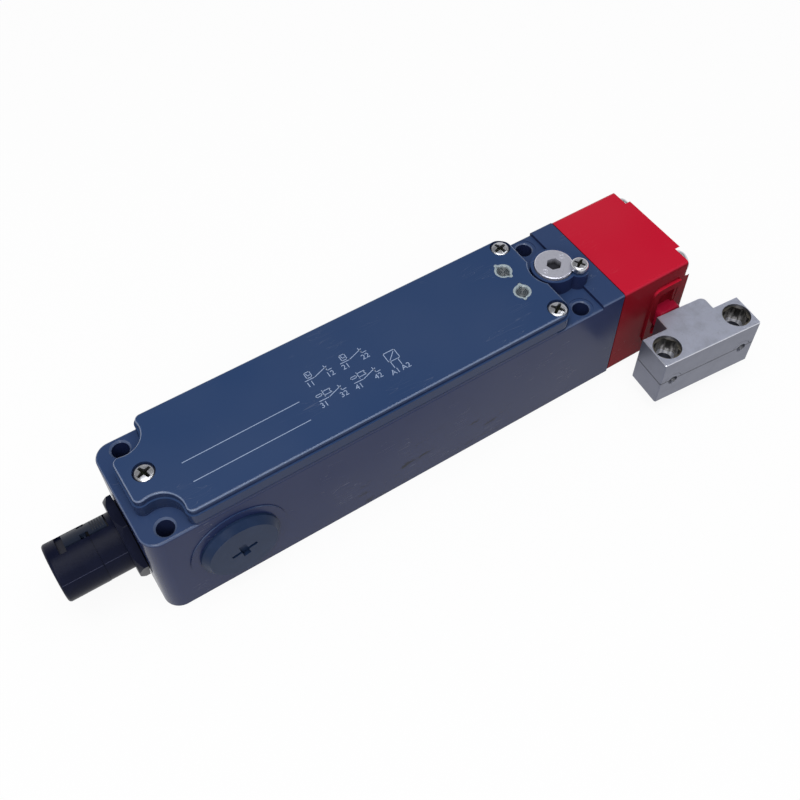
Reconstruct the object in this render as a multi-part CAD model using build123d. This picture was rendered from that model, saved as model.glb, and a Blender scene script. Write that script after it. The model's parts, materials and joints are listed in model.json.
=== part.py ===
from build123d import *
import math
import os

# Tongue interlock switch with guard locking, with its jointed actuator in the head.
# Origin: centre of the four fixing holes, on the back face. +X runs to the head, +Z to the cover.

# Driving dimensions, casing
hole_spacing_x = 148.0
hole_spacing_y = 31.0
fixing_hole_r = 2.75
cable_end_margin = 8.0
head_end_margin = 14.6
casing_width = 40.0
ear_height = 40.2
rim_height = 40.7
raised_height = 41.4
raised_start_margin = 5.7
casing_corner_r = 5.5
casing_edge_r = 0.8
casing_floor = 3.0
rim_land = 3.2
hole_chamfer = 0.6
hole_end_gap = 0.4
spot_face_r = 4.1
spot_face_depth = 0.2
pocket_side = 7.5
pocket_corner_r = 3.0

# Driving dimensions, cover
cover_end_gap = 2.9
cover_side_gap = 0.1
cover_head_margin = 6.0
cover_gap = 0.3
cover_flange_height = 3.9
cover_total_height = 6.0
cover_step = 0.6
cover_edge_r = 0.7
cover_roof = 2.2
cover_corner_r = 5.0
ear_notch_r = 6.6
notch_fillet_r = 2.7
boss_notch_gap = 0.4
cover_screw_rear_x = -72.0
cover_screw_front_x = 63.6
cover_screw_y = 15.6
cover_screw_r = 2.0
cover_screw_head_r = 3.2
cover_screw_head_height = 2.4
cover_screw_recess_r = 3.45
cover_screw_recess_depth = 3.2
cover_screw_length = 12.0
screw_post_r = 4.2

# Driving dimensions, indicators
lens_x = 58.3
lens_y = (6.5, -3.9)
lens_r = 2.8
lens_height = 2.1
lens_ear_r = 0.6
lens_ear_reach = 3.1
lens_ear_turn = (105.0, 70.0)
lens_sink = 0.15
led_r = 1.5
led_height = 3.2
board_rear = 6.4
board_front = 3.2
board_width = 18.4
board_thickness = 1.6
board_drop = 3.4
peg_r = 1.5
peg_inset = 2.4

# Driving dimensions, auxiliary release
boss_r = 7.6
boss_height = 46.2
disc_r = 6.35
disc_top = 47.0
disc_thickness = 2.9
disc_socket_flats = 4.0
disc_socket_depth = 2.0
release_shaft_r = 3.0
release_eccentric = 2.0
eccentric_pin_r = 0.9
retaining_screw_offset = 8.2
retaining_screw_r = 1.25
retaining_head_r = 2.9
retaining_head_height = 2.2
retaining_screw_length = 8.0
retaining_lobe_r = 3.4
retaining_washer_r = 1.75
retaining_washer_height = 1.0

# Driving dimensions, conduit entries and connector
entry_r = 10.0
entry_z = 20.0
side_entry_x = -55.8
entry_pad_r = 16.0
entry_pad_height = 0.4
plug_flange_r = 13.0
plug_face_r = 11.3
plug_flange_height = 3.0
plug_rim_height = 0.8
plug_shank_length = 8.0
plug_bore_r = 8.0
plug_slot_length = 8.6
plug_slot_width = 1.3
plug_arm_length = 6.4
plug_arm_width = 2.4
plug_slot_depth = 1.4
plug_slot_turn = 10.0
connector_nut_flats = 24.6
connector_nut_height = 3.0
connector_nut_turn = 40.0
connector_nut_bevel = 1.6
connector_r = 9.35
connector_neck_r = 8.7
connector_length = 24.6
connector_sleeve_length = 13.5
connector_bore_r = 7.0
connector_mouth_depth = 15.0
connector_shank_length = 9.0
connector_edge_r = 1.0
thread_gap = 0.1
connector_pin_r = 0.6
connector_pin_length = 7.0
connector_pin_circle_r = 4.6
connector_pin_count = 7
connector_seal_r = 11.6
latch_angle = 62.0
latch_width = 7.0
latch_length = 13.0
latch_thickness = 1.3
latch_start = 6.2
latch_neck = 4.9
latch_neck_length = 2.6
latch_waist = 1.6
latch_window_gap = 0.5
latch_pin_r = 0.45
latch_pin_height = 7.9
latch_pin_half_length = 4.3
lead_r = 0.7
lead_end_gap = 0.1

# Driving dimensions, head
seam_gap = 0.4
head_length = 29.2
head_bottom = 0.9
head_height = 40.4
head_wall = 3.2
head_edge_r = 1.3
head_screw_inset = 5.0
head_screw_r = 2.0
head_screw_head_r = 4.0
head_screw_head_height = 2.9
head_screw_length = 36.0
head_scallop_r = 5.4
head_scallop_depth = 2.0
head_column_r = 4.6
gasket_inset = 0.3
rim_left = 13.6
rim_width = 2.7
rim_half_height = 13.2
rim_right_margin = 4.0
rim_proud = 0.8
rim_corner_r = 3.0
groove_width = 0.9
groove_depth = 1.1
recess_depth = 1.2
nose_proud = 3.2
nose_width = 9.2
nose_offset = -0.6
nose_corner_r = 1.8
nose_half_height = 4.2
rib_offset = 1.9
rib_width = 1.0
end_plug_y = -9.0
end_plug_width = 5.4
end_plug_height = 10.0
end_plug_rim = 1.1
end_plug_sink = 0.6

# Driving dimensions, tongue, cam and rods
slot_from_seam = 21.9
key_drop = 1.8
key_thickness = 3.0
key_height = 5.4
key_above_split = 0.5
key_clearance = 0.35
key_reach = 13.6
key_tip_bar = 2.4
key_window_height = 3.2
key_window_back = 2.6
cam_x_from_seam = 12.0
cam_turn = 80.0
cam_hub_r = 5.8
cam_bore_clearance = 0.05
cam_tooth_reach = 9.8
cam_tooth_width = 2.6
cam_tooth_height = 2.4
lobe_start_r = 6.0
cam_lift = 4.0
lobe_height = 6.5
stop_r = 9.0
stop_height = 5.0
stop_neck_r = 4.4
stop_start = 25.0
stop_span = 30.0
cam_axle_r = 2.5
axle_boss_r = 5.0
axle_cover = 1.4
rod_r = 2.0
rod_running_gap = 0.08
push_rod_z = 12.0
lock_rod_z = 29.0
lock_travel = 4.0
tip_gap = 0.3
guide_thickness = 5.0
channel_half_width = 9.6
channel_bottom = 5.0
channel_top = 34.0

# Driving dimensions, solenoid
solenoid_start = 12.0
solenoid_length = 38.0
yoke_thickness = 1.7
yoke_width = 26.0
yoke_plate_width = 20.0
coil_r = 9.4
bobbin_r = 5.6
bobbin_bore_r = 4.9
bobbin_flange_r = 9.9
bobbin_flange = 1.0
core_r = 4.6
core_length = 10.0
armature_length = 19.0
pillar_r = 3.2
spring_r = 3.4
spring_wire_r = 0.35
spring_turns = 6
lock_spring_length = 10.0
push_spring_length = 11.0
collar_r = 4.0
collar_thickness = 1.5
pillar_screw_length = 7.5

# Driving dimensions, contact unit
contact_start = -39.0
contact_length = 47.0
contact_width = 32.4
contact_bottom = 3.4
contact_ledge_height = 31.8
contact_wall = 2.0
ledge_width = 5.4
fence_height = 2.4
first_column_inset = 8.2
column_pitch = 8.5
column_count = 5
terminal_width = 5.0
strip_thickness = 0.8
strip_inset = 0.6
tip_half_height = 1.8
bridge_half_length = 8.6
bridge_height = 4.4
bridge_thickness = 1.2
contact_tip_start = 5.6
terminal_screw_r = 1.5
terminal_head_r = 2.3
terminal_head_height = 1.7
terminal_screw_length = 5.0
terminal_recess = 2.6
unit_screw_r = 1.5
unit_head_r = 2.4
unit_head_height = 1.6
unit_recess = 2.6
unit_screw_length = 3.6
unit_screw_inset = 4.8
earth_head_r = 3.6
earth_head_height = 2.2
earth_screw_length = 4.5
earth_recess = 3.8
earth_washer_r = 4.0
earth_washer_thickness = 0.8

# Driving dimensions, actuator
block_length = 39.6
block_width = 13.0
block_height = 20.2
block_pivot_y = -37.3
block_yaw = -4.4
tilt_limit = 6.0
block_hole_spacing = 29.0
block_hole_r = 2.75
block_counterbore_r = 4.9
block_counterbore_depth = 6.5
sleeve_sink = 0.9
sleeve_bore_r = 3.9
sleeve_lobe_r = 1.3
sleeve_lobe_reach = 3.2
sleeve_lobes = 6
block_edge = 0.4
stem_width = 19.4
stem_length = 5.7
stem_corner_r = 2.2
set_screw_r = 1.8
set_screw_sink = 1.2
set_screw_wall = 0.5
set_screw_ear_r = 3.3
set_screw_below_split = 0.6
split_gap = 0.12
pivot_pin_r = 1.6
knuckle_r = 3.2

# Places worked out from the driving dimensions
half_width = casing_width / 2
hole_x = hole_spacing_x / 2
hole_y = hole_spacing_y / 2
cable_end_x = -hole_x - cable_end_margin
casing_end_x = hole_x + head_end_margin
seam_x = casing_end_x + seam_gap
head_end_x = seam_x + head_length
head_mid_z = head_bottom + head_height / 2
head_top = head_bottom + head_height
cover_bottom = rim_height + cover_gap
cover_top = cover_bottom + cover_total_height
cover_ceiling = cover_top - cover_roof
board_top = cover_ceiling - board_drop
slot_x = seam_x + slot_from_seam
cam_x = seam_x + cam_x_from_seam
key_mid_z = head_mid_z - key_drop
key_bottom = key_mid_z - key_height / 2
key_top = key_mid_z + key_height / 2
block_split = key_bottom - key_above_split
nose_x = slot_x + nose_offset
block_bottom = block_split - block_height / 2
block_top = block_split + block_height / 2
lobe_bottom = push_rod_z - lobe_height / 2
stop_bottom = lock_rod_z - stop_height / 2
stop_top = lock_rod_z + stop_height / 2
solenoid_end = solenoid_start + solenoid_length
contact_end = contact_start + contact_length
contact_columns = [contact_start + first_column_inset + column_pitch * i for i in range(column_count)]
cavity_floor = casing_floor
lock_slider_x = hole_x - release_eccentric
retaining_x = hole_x + retaining_screw_offset * math.cos(math.radians(45))
retaining_y = -retaining_screw_offset * math.sin(math.radians(45))


# Shape helpers

def block(x0, x1, y0, y1, z0, z1):
    return Pos((x0 + x1) / 2, (y0 + y1) / 2, (z0 + z1) / 2) * Box(x1 - x0, y1 - y0, z1 - z0)


def post(x, y, z0, z1, r):
    return Pos(x, y, (z0 + z1) / 2) * Cylinder(r, z1 - z0)


def rod_x(x0, x1, y, z, r):
    return Pos((x0 + x1) / 2, y, z) * Rot(0, 90, 0) * Cylinder(r, x1 - x0)


def rod_y(x, y0, y1, z, r):
    return Pos(x, (y0 + y1) / 2, z) * Rot(90, 0, 0) * Cylinder(r, y1 - y0)


def prism(sketch, z0, z1):
    return extrude(Pos(0, 0, z0) * sketch, z1 - z0)


def hex_bar(flats, height):
    return extrude(RegularPolygon(flats / 2, 6, major_radius=False), height)


def ring(x, y, z0, z1, r_out, r_in):
    return post(x, y, z0, z1, r_out) - post(x, y, z0, z1, r_in)


def pan_screw(r, head_r, head_height, length, recess):
    """Pan head screw along Z: the head stands on z = 0 and the shank hangs below."""
    head = Pos(0, 0, head_height / 2) * Cylinder(head_r, head_height)
    head = fillet(head.edges().sort_by(Axis.Z)[-1], head_height * 0.55)
    shank = Pos(0, 0, -length / 2) * Cylinder(r, length)
    arm = recess * 0.3
    cross = Box(recess, arm, head_height) + Box(arm, recess, head_height)
    return head + shank - Pos(0, 0, head_height) * cross


def coil_spring(length, r, wire_r, turns):
    """Open coil spring along Z from z = 0, with its wire inside the length."""
    pitch = (length - 2 * wire_r) / turns
    path = Pos(0, 0, wire_r) * Helix(pitch, length - 2 * wire_r, r)
    start = Plane(origin=path @ 0, z_dir=path % 0)
    return sweep(start * Circle(wire_r), path=path, is_frenet=True)


def along_x(shape, x, y, z):
    """Turns a shape made along Z so that its +Z end points along +X."""
    return Pos(x, y, z) * Rot(0, 90, 0) * shape


# Plan outlines

def casing_plan():
    length = casing_end_x - cable_end_x
    middle = (casing_end_x + cable_end_x) / 2
    plan = Pos(middle, 0) * RectangleRounded(length, casing_width, casing_corner_r)
    square_end = Pos(casing_end_x - length / 4, 0) * Rectangle(length / 2, casing_width)
    return plan + square_end


def cover_plan():
    x0 = cable_end_x + cover_end_gap
    x1 = hole_x - cover_head_margin
    half = half_width - cover_side_gap
    plan = Pos((x0 + x1) / 2, 0) * Rectangle(x1 - x0, 2 * half)
    plan = fillet(plan.vertices().group_by(Axis.X)[-1], cover_corner_r)
    corner = half_width
    for side in (-1, 1):
        plan -= Pos(-hole_x, side * hole_y) * Circle(ear_notch_r)
        plan -= Pos(-hole_x - corner / 2, side * (hole_y + corner / 2)) * Rectangle(corner, corner)
    plan = fillet(plan.vertices().group_by(Axis.X)[0], notch_fillet_r)
    side_reach = math.sqrt(ear_notch_r ** 2 - (half - hole_y) ** 2)
    at_side = [v for v in plan.vertices() if abs(v.X + hole_x - side_reach) < 0.01]
    plan = fillet(at_side, notch_fillet_r)
    return plan - Pos(hole_x, 0) * Circle(boss_r + boss_notch_gap)


def cavity_plan():
    return offset(cover_plan(), amount=-rim_land, kind=Kind.INTERSECTION)


# Casing and cover

def make_casing():
    body = prism(casing_plan(), 0, ear_height)
    body = fillet(body.edges().group_by(Axis.Z)[-1], casing_edge_r)
    body = chamfer(body.edges().group_by(Axis.Z)[0], casing_edge_r)
    body += prism(cover_plan(), ear_height - 1, rim_height)
    raised_x = casing_end_x - raised_start_margin - pocket_corner_r
    raised = block(raised_x, casing_end_x, -half_width, half_width, ear_height - 3, raised_height)
    raised = fillet(raised.edges().filter_by(Axis.X).group_by(Axis.Z)[-1], casing_edge_r)
    body += raised
    body += post(hole_x, 0, ear_height - 1, boss_height, boss_r)
    body += post(retaining_x, retaining_y, ear_height - 1, boss_height, retaining_lobe_r)
    for side in (-1, 1):
        pad = rod_y(side_entry_x, 0, half_width + entry_pad_height, entry_z, entry_pad_r)
        body += pad if side > 0 else mirror(pad, Plane.XZ)
    body -= prism(cavity_plan(), cavity_floor, rim_height + 1)
    body -= block(hole_x - cover_head_margin - rim_land - 4, casing_end_x + 1, -channel_half_width,
                  channel_half_width, channel_bottom, channel_top)
    inner = prism(cavity_plan(), cavity_floor - 1, rim_height)
    bosses = block(cable_end_x, cover_screw_rear_x + screw_post_r, -screw_post_r, screw_post_r,
                   cover_screw_tip() - 1, rim_height)
    for side in (-1, 1):
        y = side * cover_screw_y
        bosses += post(cover_screw_front_x, y, cavity_floor - 1, rim_height, screw_post_r)
        for x in pillar_places():
            bosses += post(x, side * pillar_y(), cavity_floor - 1, yoke_base(), pillar_r)
    for x, y in unit_screw_places():
        bosses += post(x, y, cavity_floor - 1, contact_bottom, pillar_r)
    bosses += post(earth_place()[0], earth_place()[1], cavity_floor - 1, earth_seat(), screw_post_r)
    body += bosses & inner
    return cut_casing_holes(body)


def cut_casing_holes(body):
    for x in (-hole_x, hole_x):
        for y in (-hole_y, hole_y):
            body -= post(x, y, -1, ear_height + 3, fixing_hole_r)
            mouth = Cone(fixing_hole_r, fixing_hole_r + hole_chamfer, hole_chamfer)
            body -= Pos(x, y, ear_height - hole_chamfer / 2) * mouth
    body -= prism(pocket_plan(), ear_height, raised_height + 1)
    spots = Pos(hole_x, hole_y) * Circle(spot_face_r) + Pos(hole_x, -hole_y) * Circle(spot_face_r)
    body -= prism(spots & pocket_plan(), ear_height - spot_face_depth, ear_height + 1)
    body -= rod_y(side_entry_x, -half_width - 2, half_width + 2, entry_z, entry_r)
    body -= rod_x(cable_end_x - 1, cable_end_x + 12, 0, entry_z, entry_r)
    for x, y in cover_screw_places():
        body -= post(x, y, cover_screw_tip() - hole_end_gap, rim_height + 1, cover_screw_r)
    seat = disc_top - disc_thickness - 0.1
    body -= post(hole_x, 0, seat, boss_height + 2, disc_r + 0.25)
    body -= post(hole_x, 0, channel_top - 1, seat + 1, release_shaft_r + rod_running_gap)
    screw_end = boss_height - retaining_screw_length
    body -= post(retaining_x, retaining_y, screw_end, boss_height + 1, retaining_screw_r)
    for y, z in head_screw_places():
        body -= rod_x(head_screw_tip() - 0.4, casing_end_x + 1, y, z, head_screw_r)
    for side in (-1, 1):
        for x in pillar_places():
            body -= post(x, side * pillar_y(), yoke_base() - 7, yoke_base() + 1, unit_screw_r)
    for x, y in unit_screw_places():
        body -= post(x, y, 1.0, contact_bottom + 1, unit_screw_r)
    body -= post(earth_place()[0], earth_place()[1], 1.0, earth_seat() + 1, cover_screw_r)
    return body


def pocket_plan():
    """The two lowered corners by the head that the fixing screws' heads seat in."""
    x0 = hole_x - cover_head_margin - 1
    x1 = casing_end_x - raised_start_margin - pocket_corner_r
    width = half_width + 5 - pocket_side
    depth = x1 - x0 + 6
    pocket = RectangleRounded(depth, width, pocket_corner_r)
    plan = Pos(x1 - depth / 2, half_width + 5 - width / 2) * pocket
    plan += mirror(plan, Plane.XZ)
    return plan - Pos(hole_x, 0) * Circle(boss_r) - Pos(retaining_x, retaining_y) * Circle(retaining_lobe_r)


def cover_screw_tip():
    return cover_top - cover_screw_recess_depth - cover_screw_length


def cover_screw_places():
    front = [(cover_screw_front_x, side * cover_screw_y) for side in (1, -1)]
    return [(cover_screw_rear_x, 0)] + front


def make_cover():
    plan = cover_plan()
    lower = prism(plan, cover_bottom, cover_bottom + cover_flange_height)
    upper = prism(offset(plan, amount=-cover_step, kind=Kind.INTERSECTION), cover_bottom, cover_top)
    upper = fillet(upper.edges().group_by(Axis.Z)[-1], cover_edge_r)
    cover = lower + upper
    hollow = prism(offset(plan, amount=-rim_land, kind=Kind.INTERSECTION), cover_bottom - 1, cover_ceiling)
    bosses = block(cable_end_x, cover_screw_rear_x + screw_post_r, -screw_post_r, screw_post_r,
                   cover_bottom, cover_top)
    for x, y in cover_screw_places()[1:]:
        bosses += post(x, y, cover_bottom, cover_top, screw_post_r + 0.6)
    for y in peg_places():
        bosses += post(lens_x - board_rear + peg_inset, y, board_top, cover_top, peg_r)
    cover -= hollow - bosses
    head_seat = cover_top - cover_screw_recess_depth
    for x, y in cover_screw_places():
        cover -= post(x, y, head_seat, cover_top + 1, cover_screw_recess_r)
        cover -= post(x, y, cover_bottom - 1, head_seat + 1, cover_screw_r + 0.25)
    for index, y in enumerate(lens_y):
        cover -= Pos(lens_x, y) * lens_shape(index, cover_ceiling - 1, cover_top + 1, 0.1)
    return cover


def make_cover_gasket():
    outer = offset(cover_plan(), amount=-0.4, kind=Kind.INTERSECTION)
    inner = offset(cover_plan(), amount=-rim_land + 0.4, kind=Kind.INTERSECTION)
    gasket = prism(outer - inner, rim_height, cover_bottom)
    for x, y in cover_screw_places():
        gasket -= post(x, y, rim_height - 1, cover_bottom + 1, cover_screw_r + 0.25)
    return gasket


def make_cover_screws():
    screw = pan_screw(cover_screw_r, cover_screw_head_r, cover_screw_head_height, cover_screw_length,
                      cover_screw_head_r * 1.2)
    seat = cover_top - cover_screw_recess_depth
    return Compound([Pos(x, y, seat) * Rot(0, 0, 20) * screw for x, y in cover_screw_places()])


# Indicators

def lens_shape(index, z0, z1, gap):
    shape = post(0, 0, z0, z1, lens_r + gap)
    for turn in (lens_ear_turn[index], lens_ear_turn[index] + 180):
        shape += Rot(0, 0, turn) * post(lens_ear_reach, 0, z0, z1, lens_ear_r + gap)
    return shape


def make_lens(index):
    top = cover_top - lens_sink
    lens = lens_shape(index, top - lens_height, top, 0)
    lens -= post(0, 0, top - lens_height - 1, top - 0.8, lens_r - 0.8)
    return Pos(lens_x, lens_y[index]) * lens


def peg_places():
    middle = sum(lens_y) / 2
    return (middle - board_width / 2 + peg_inset, middle + board_width / 2 - peg_inset)


def make_board():
    middle = sum(lens_y) / 2
    return block(lens_x - board_rear, lens_x + board_front, middle - board_width / 2,
                 middle + board_width / 2, board_top - board_thickness, board_top)


def make_leds():
    leds = []
    for y in lens_y:
        stem = post(lens_x, y, board_top, board_top + led_height - led_r, led_r)
        leds.append(stem + Pos(lens_x, y, board_top + led_height - led_r) * Sphere(led_r))
    return Compound(leds)


# Auxiliary release

def make_release_disc():
    disc = post(hole_x, 0, disc_top - disc_thickness, disc_top, disc_r)
    disc = chamfer(disc.edges().sort_by(Axis.Z)[-1], 0.3)
    socket = hex_bar(disc_socket_flats, disc_socket_depth + 1)
    disc -= Pos(hole_x, 0, disc_top - disc_socket_depth) * Rot(0, 0, 15) * socket
    marks = [(-4.4, 1.1), (4.4, 1.1)]
    for along, half in marks:
        mark = block(along - 0.25, along + 0.25, -half, half, disc_top - 0.15, disc_top + 1)
        disc -= Pos(hole_x, 0, 0) * Rot(0, 0, -45) * mark
    return disc


def make_release_shaft():
    top = disc_top - disc_thickness
    bottom = lock_rod_z + rod_r + 0.8
    shaft = post(hole_x, 0, bottom, top, release_shaft_r)
    shaft -= ring(hole_x, 0, seal_z() - 0.7, seal_z() + 0.7, release_shaft_r + 1, release_shaft_r - 0.9)
    return shaft + post(hole_x - release_eccentric, 0, slider_top() - 2.2, bottom, eccentric_pin_r)


def seal_z():
    return (channel_top + disc_top - disc_thickness) / 2


def make_release_seal():
    minor = 0.45
    return Pos(hole_x, 0, seal_z()) * Torus(release_shaft_r - 0.9 + minor + 0.02, minor)


def make_retaining_screw():
    length = retaining_screw_length - hole_end_gap
    recess = retaining_head_r * 1.15
    screw = pan_screw(retaining_screw_r, retaining_head_r, retaining_head_height, length, recess)
    seat = boss_height + retaining_washer_height
    return Pos(retaining_x, retaining_y, seat) * Rot(0, 0, 30) * screw


def make_retaining_washer():
    top = boss_height + retaining_washer_height
    return ring(retaining_x, retaining_y, boss_height, top, retaining_washer_r, retaining_screw_r + 0.05)


# Conduit plugs

def plug_along_z():
    """Blanking plug along Z: the flange stands on z = 0, the shank hangs below."""
    flange = Pos(0, 0, plug_flange_height / 2) * Cylinder(plug_flange_r, plug_flange_height)
    bevel_height = plug_flange_height - plug_rim_height
    flange = chamfer(flange.edges().sort_by(Axis.Z)[-1], bevel_height, plug_flange_r - plug_face_r)
    shank = Pos(0, 0, -plug_shank_length / 2) * Cylinder(entry_r - thread_gap, plug_shank_length)
    plug = flange + shank
    plug -= Pos(0, 0, -plug_shank_length / 2 - 1) * Cylinder(plug_bore_r, plug_shank_length)
    plug -= ring(0, 0, -1, 1.0, plug_flange_r - 1.0, entry_r + 0.5) & block(-20, 20, -20, 20, 0, 1)
    top = plug_flange_height - plug_slot_depth / 2 + 0.5
    depth = plug_slot_depth + 1
    plug -= Pos(0, 0, top) * Box(plug_slot_length, plug_slot_width, depth)
    return plug - Pos(0, 0, top) * Box(plug_arm_width, plug_arm_length, depth)


def side_place(side):
    """Frame on a side face at the conduit entry, with its Z out of the casing."""
    turn = Rot(90, 0, 0) if side < 0 else Rot(-90, 0, 0)
    return Pos(side_entry_x, side * (half_width + entry_pad_height), entry_z) * turn


def make_plug(side):
    return side_place(side) * Rot(0, 0, plug_slot_turn) * plug_along_z()


def make_plug_seal(side):
    mean = (plug_flange_r - 1.0 + entry_r + 0.5) / 2
    return side_place(side) * Pos(0, 0, 0.47) * Torus(mean, 0.46)


# Connector at the cable end

def make_connector_nut():
    nut = hex_bar(connector_nut_flats, connector_nut_height)
    corner_r = connector_nut_flats / math.sqrt(3)
    rim = Pos(0, 0, connector_nut_height / 2) * Cylinder(corner_r - 0.1, connector_nut_height)
    rim = chamfer(rim.edges().sort_by(Axis.Z)[-1], connector_nut_bevel)
    nut = nut & rim
    nut -= Pos(0, 0, connector_nut_height / 2) * Cylinder(connector_neck_r + 0.05, connector_nut_height * 2)
    return Pos(cable_end_x - seam_gap, 0, entry_z) * Rot(0, -90, 0) * Rot(0, 0, connector_nut_turn) * nut


def connector_face_x():
    return cable_end_x - connector_length


def make_connector_shell():
    inner_end = cable_end_x - seam_gap - connector_nut_height
    joint = connector_face_x() + connector_sleeve_length
    shell = rod_x(joint, inner_end, 0, entry_z, connector_r)
    shell += rod_x(inner_end, cable_end_x, 0, entry_z, connector_neck_r)
    shell += rod_x(cable_end_x, cable_end_x + connector_shank_length, 0, entry_z, entry_r - thread_gap)
    shell -= rod_x(joint - 1, cable_end_x + connector_shank_length + 1, 0, entry_z, connector_bore_r)
    return shell - latch_window()


def latch_frame():
    """Frame at the barrel's open end whose Z points out through the latch window."""
    return Pos(connector_face_x(), 0, entry_z) * Rot(-(90 - latch_angle), 0, 0)


def latch_window():
    gap = latch_window_gap
    floor = connector_r - latch_thickness - 0.7
    half = latch_width / 2 + gap
    wide = half + latch_waist - gap
    top = connector_r + 2
    window = block(latch_start - 1.0, latch_start + latch_length + gap, -half, half, floor, top)
    window += block(latch_start - 2.2, latch_start, -wide, wide, floor, top)
    return latch_frame() * (window + latch_pin(0.05))


def latch_pivot_x():
    return latch_start + latch_neck + latch_neck_length / 2


def latch_pin(gap):
    half = latch_pin_half_length + gap
    return rod_y(latch_pivot_x(), -half, half, latch_pin_height, latch_pin_r + gap)


def make_connector_sleeve():
    joint = connector_face_x() + connector_sleeve_length
    sleeve = rod_x(connector_face_x(), joint - 0.1, 0, entry_z, connector_r + 0.1)
    sleeve = fillet(sleeve.edges().group_by(Axis.X)[0], connector_edge_r)
    sleeve -= rod_x(connector_face_x() - 1, joint, 0, entry_z, connector_bore_r)
    return sleeve - latch_window()


def make_connector_latch():
    tab = block(latch_start, latch_start + latch_length, -latch_width / 2, latch_width / 2,
                connector_r - latch_thickness - 0.3, connector_r + 0.1)
    tab &= latch_barrel(connector_r)
    neck = latch_start + latch_neck
    for side in (-1, 1):
        y0, y1 = sorted((side * (latch_width / 2 + 1), side * (latch_width / 2 - latch_waist)))
        tab -= block(neck, neck + latch_neck_length, y0, y1, 0, connector_r + 2)
    for i in range(5):
        x = latch_start + latch_length * 0.68 + i * 0.8
        half = latch_width / 2 - 0.6
        tab -= block(x, x + 0.35, -half, half, connector_r - 0.55, connector_r + 2)
    return latch_frame() * (tab + latch_pin(0))


def latch_barrel(r):
    return rod_x(0, 40, 0, 0, r)


def make_connector_insert():
    back = cable_end_x + connector_shank_length - 1.5
    face = connector_face_x() + connector_mouth_depth
    insert = rod_x(face, back, 0, entry_z, connector_bore_r - 0.05)
    for y, z in pin_places():
        insert -= rod_x(face - 1, back + 1, y, z, connector_pin_r)
    return insert


def pin_places():
    places = [(0.0, entry_z)]
    for i in range(connector_pin_count - 1):
        turn = math.radians(360 / (connector_pin_count - 1) * i + 15)
        y, z = connector_pin_circle_r * math.cos(turn), connector_pin_circle_r * math.sin(turn)
        places.append((y, entry_z + z))
    return places


def make_connector_pins():
    face = connector_face_x() + connector_mouth_depth
    back = cable_end_x + connector_shank_length + 1.0
    pins = [rod_x(face - connector_pin_length, back, y, z, connector_pin_r) for y, z in pin_places()]
    return Compound([chamfer(pin.edges().sort_by(Axis.X)[0], 0.2) for pin in pins])


def make_connector_seal():
    seal = rod_x(cable_end_x - seam_gap, cable_end_x, 0, entry_z, connector_seal_r)
    return seal - rod_x(cable_end_x - 1, cable_end_x + 1, 0, entry_z, entry_r)


def make_connector_leads():
    """Leads from the connector's pins up to the terminals on each side of the contact unit."""
    start = cable_end_x + connector_shank_length + 1.0 + lead_end_gap
    end = contact_start - 0.3
    leads = []
    for i, (y, z) in enumerate(pin_places()[1:]):
        side = 1 if y > 0 else -1
        target_y = side * (4.5 + 1.9 * (i % 3))
        target_z = 16.0 + 3.6 * (i % 3)
        run = (end - start) / 3
        points = [(start, y, z), (start + run, y, z)]
        points += [(start + 2 * run, target_y, target_z), (end, target_y, target_z)]
        path = FilletPolyline(*points, radius=5.0)
        leads.append(sweep(Plane(origin=path @ 0, z_dir=path % 0) * Circle(lead_r), path=path))
    return Compound(leads)


# Head

def head_screw_places():
    y = half_width - head_screw_inset
    z = head_height / 2 - head_screw_inset
    return [(a * y, head_mid_z + b * z) for a in (-1, 1) for b in (-1, 1)]


def head_screw_tip():
    return head_end_x - head_scallop_depth - head_screw_length


def side_outline(x0, x1, half_height, corner_r):
    """Outline on the side face around the tongue's slot, open towards the end face."""
    shape = Pos((x0 + x1) / 2, 0) * RectangleRounded(x1 - x0, 2 * half_height, corner_r)
    square = Pos(x1 - (x1 - x0) / 4, 0) * Rectangle((x1 - x0) / 2, 2 * half_height)
    return shape + square


def on_front(sketch, y0, y1):
    """Extrudes an outline drawn on the head's front side between two depths."""
    plane = Plane(origin=(0, y0, head_mid_z), x_dir=(1, 0, 0), z_dir=(0, -1, 0))
    return extrude(plane * sketch, y0 - y1)


def make_head_housing():
    box = block(seam_x, head_end_x, -half_width, half_width, head_bottom, head_top)
    box = fillet(box.edges().filter_by(Axis.X), head_edge_r)
    inside = block(seam_x - 1, head_end_x - head_wall, -half_width + head_wall, half_width - head_wall,
                   head_bottom + head_wall, head_top - head_wall)
    for y, z in head_screw_places():
        inside -= rod_x(seam_x - 2, head_end_x, y, z, head_column_r)
    for z0, z1 in ((head_bottom, lobe_bottom - tip_gap), (stop_top + tip_gap, head_top)):
        inside -= post(cam_x, 0, z0, z1, axle_boss_r)
    box -= inside
    box -= post(cam_x, 0, head_bottom + axle_cover, head_top - axle_cover, cam_axle_r)
    front = -half_width
    x0 = seam_x + rim_left
    x1 = head_end_x - rim_right_margin
    outer = side_outline(x0, x1, rim_half_height, rim_corner_r)
    inner = side_outline(x0 + rim_width, x1, rim_half_height - rim_width, rim_corner_r - 1.2)
    groove = side_outline(x0 - 0.1, x1 - 0.6, rim_half_height + groove_width, rim_corner_r + 0.4)
    box -= on_front(groove, front + groove_depth, front - 1)
    box += on_front(outer, front + head_wall, front - rim_proud)
    box -= on_front(inner, front + recess_depth, front - 2)
    rib_x = slot_x + rib_offset
    rib_top = head_mid_z + rim_half_height - rim_width
    box += block(rib_x, rib_x + rib_width, front, front + head_wall, nose_top(), rib_top)
    for y, z in head_screw_places():
        box -= head_scallop(y, z) + rod_x(seam_x - 1, head_end_x, y, z, head_screw_r + 0.25)
    return box - guide_body() - end_plug_body()


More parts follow.
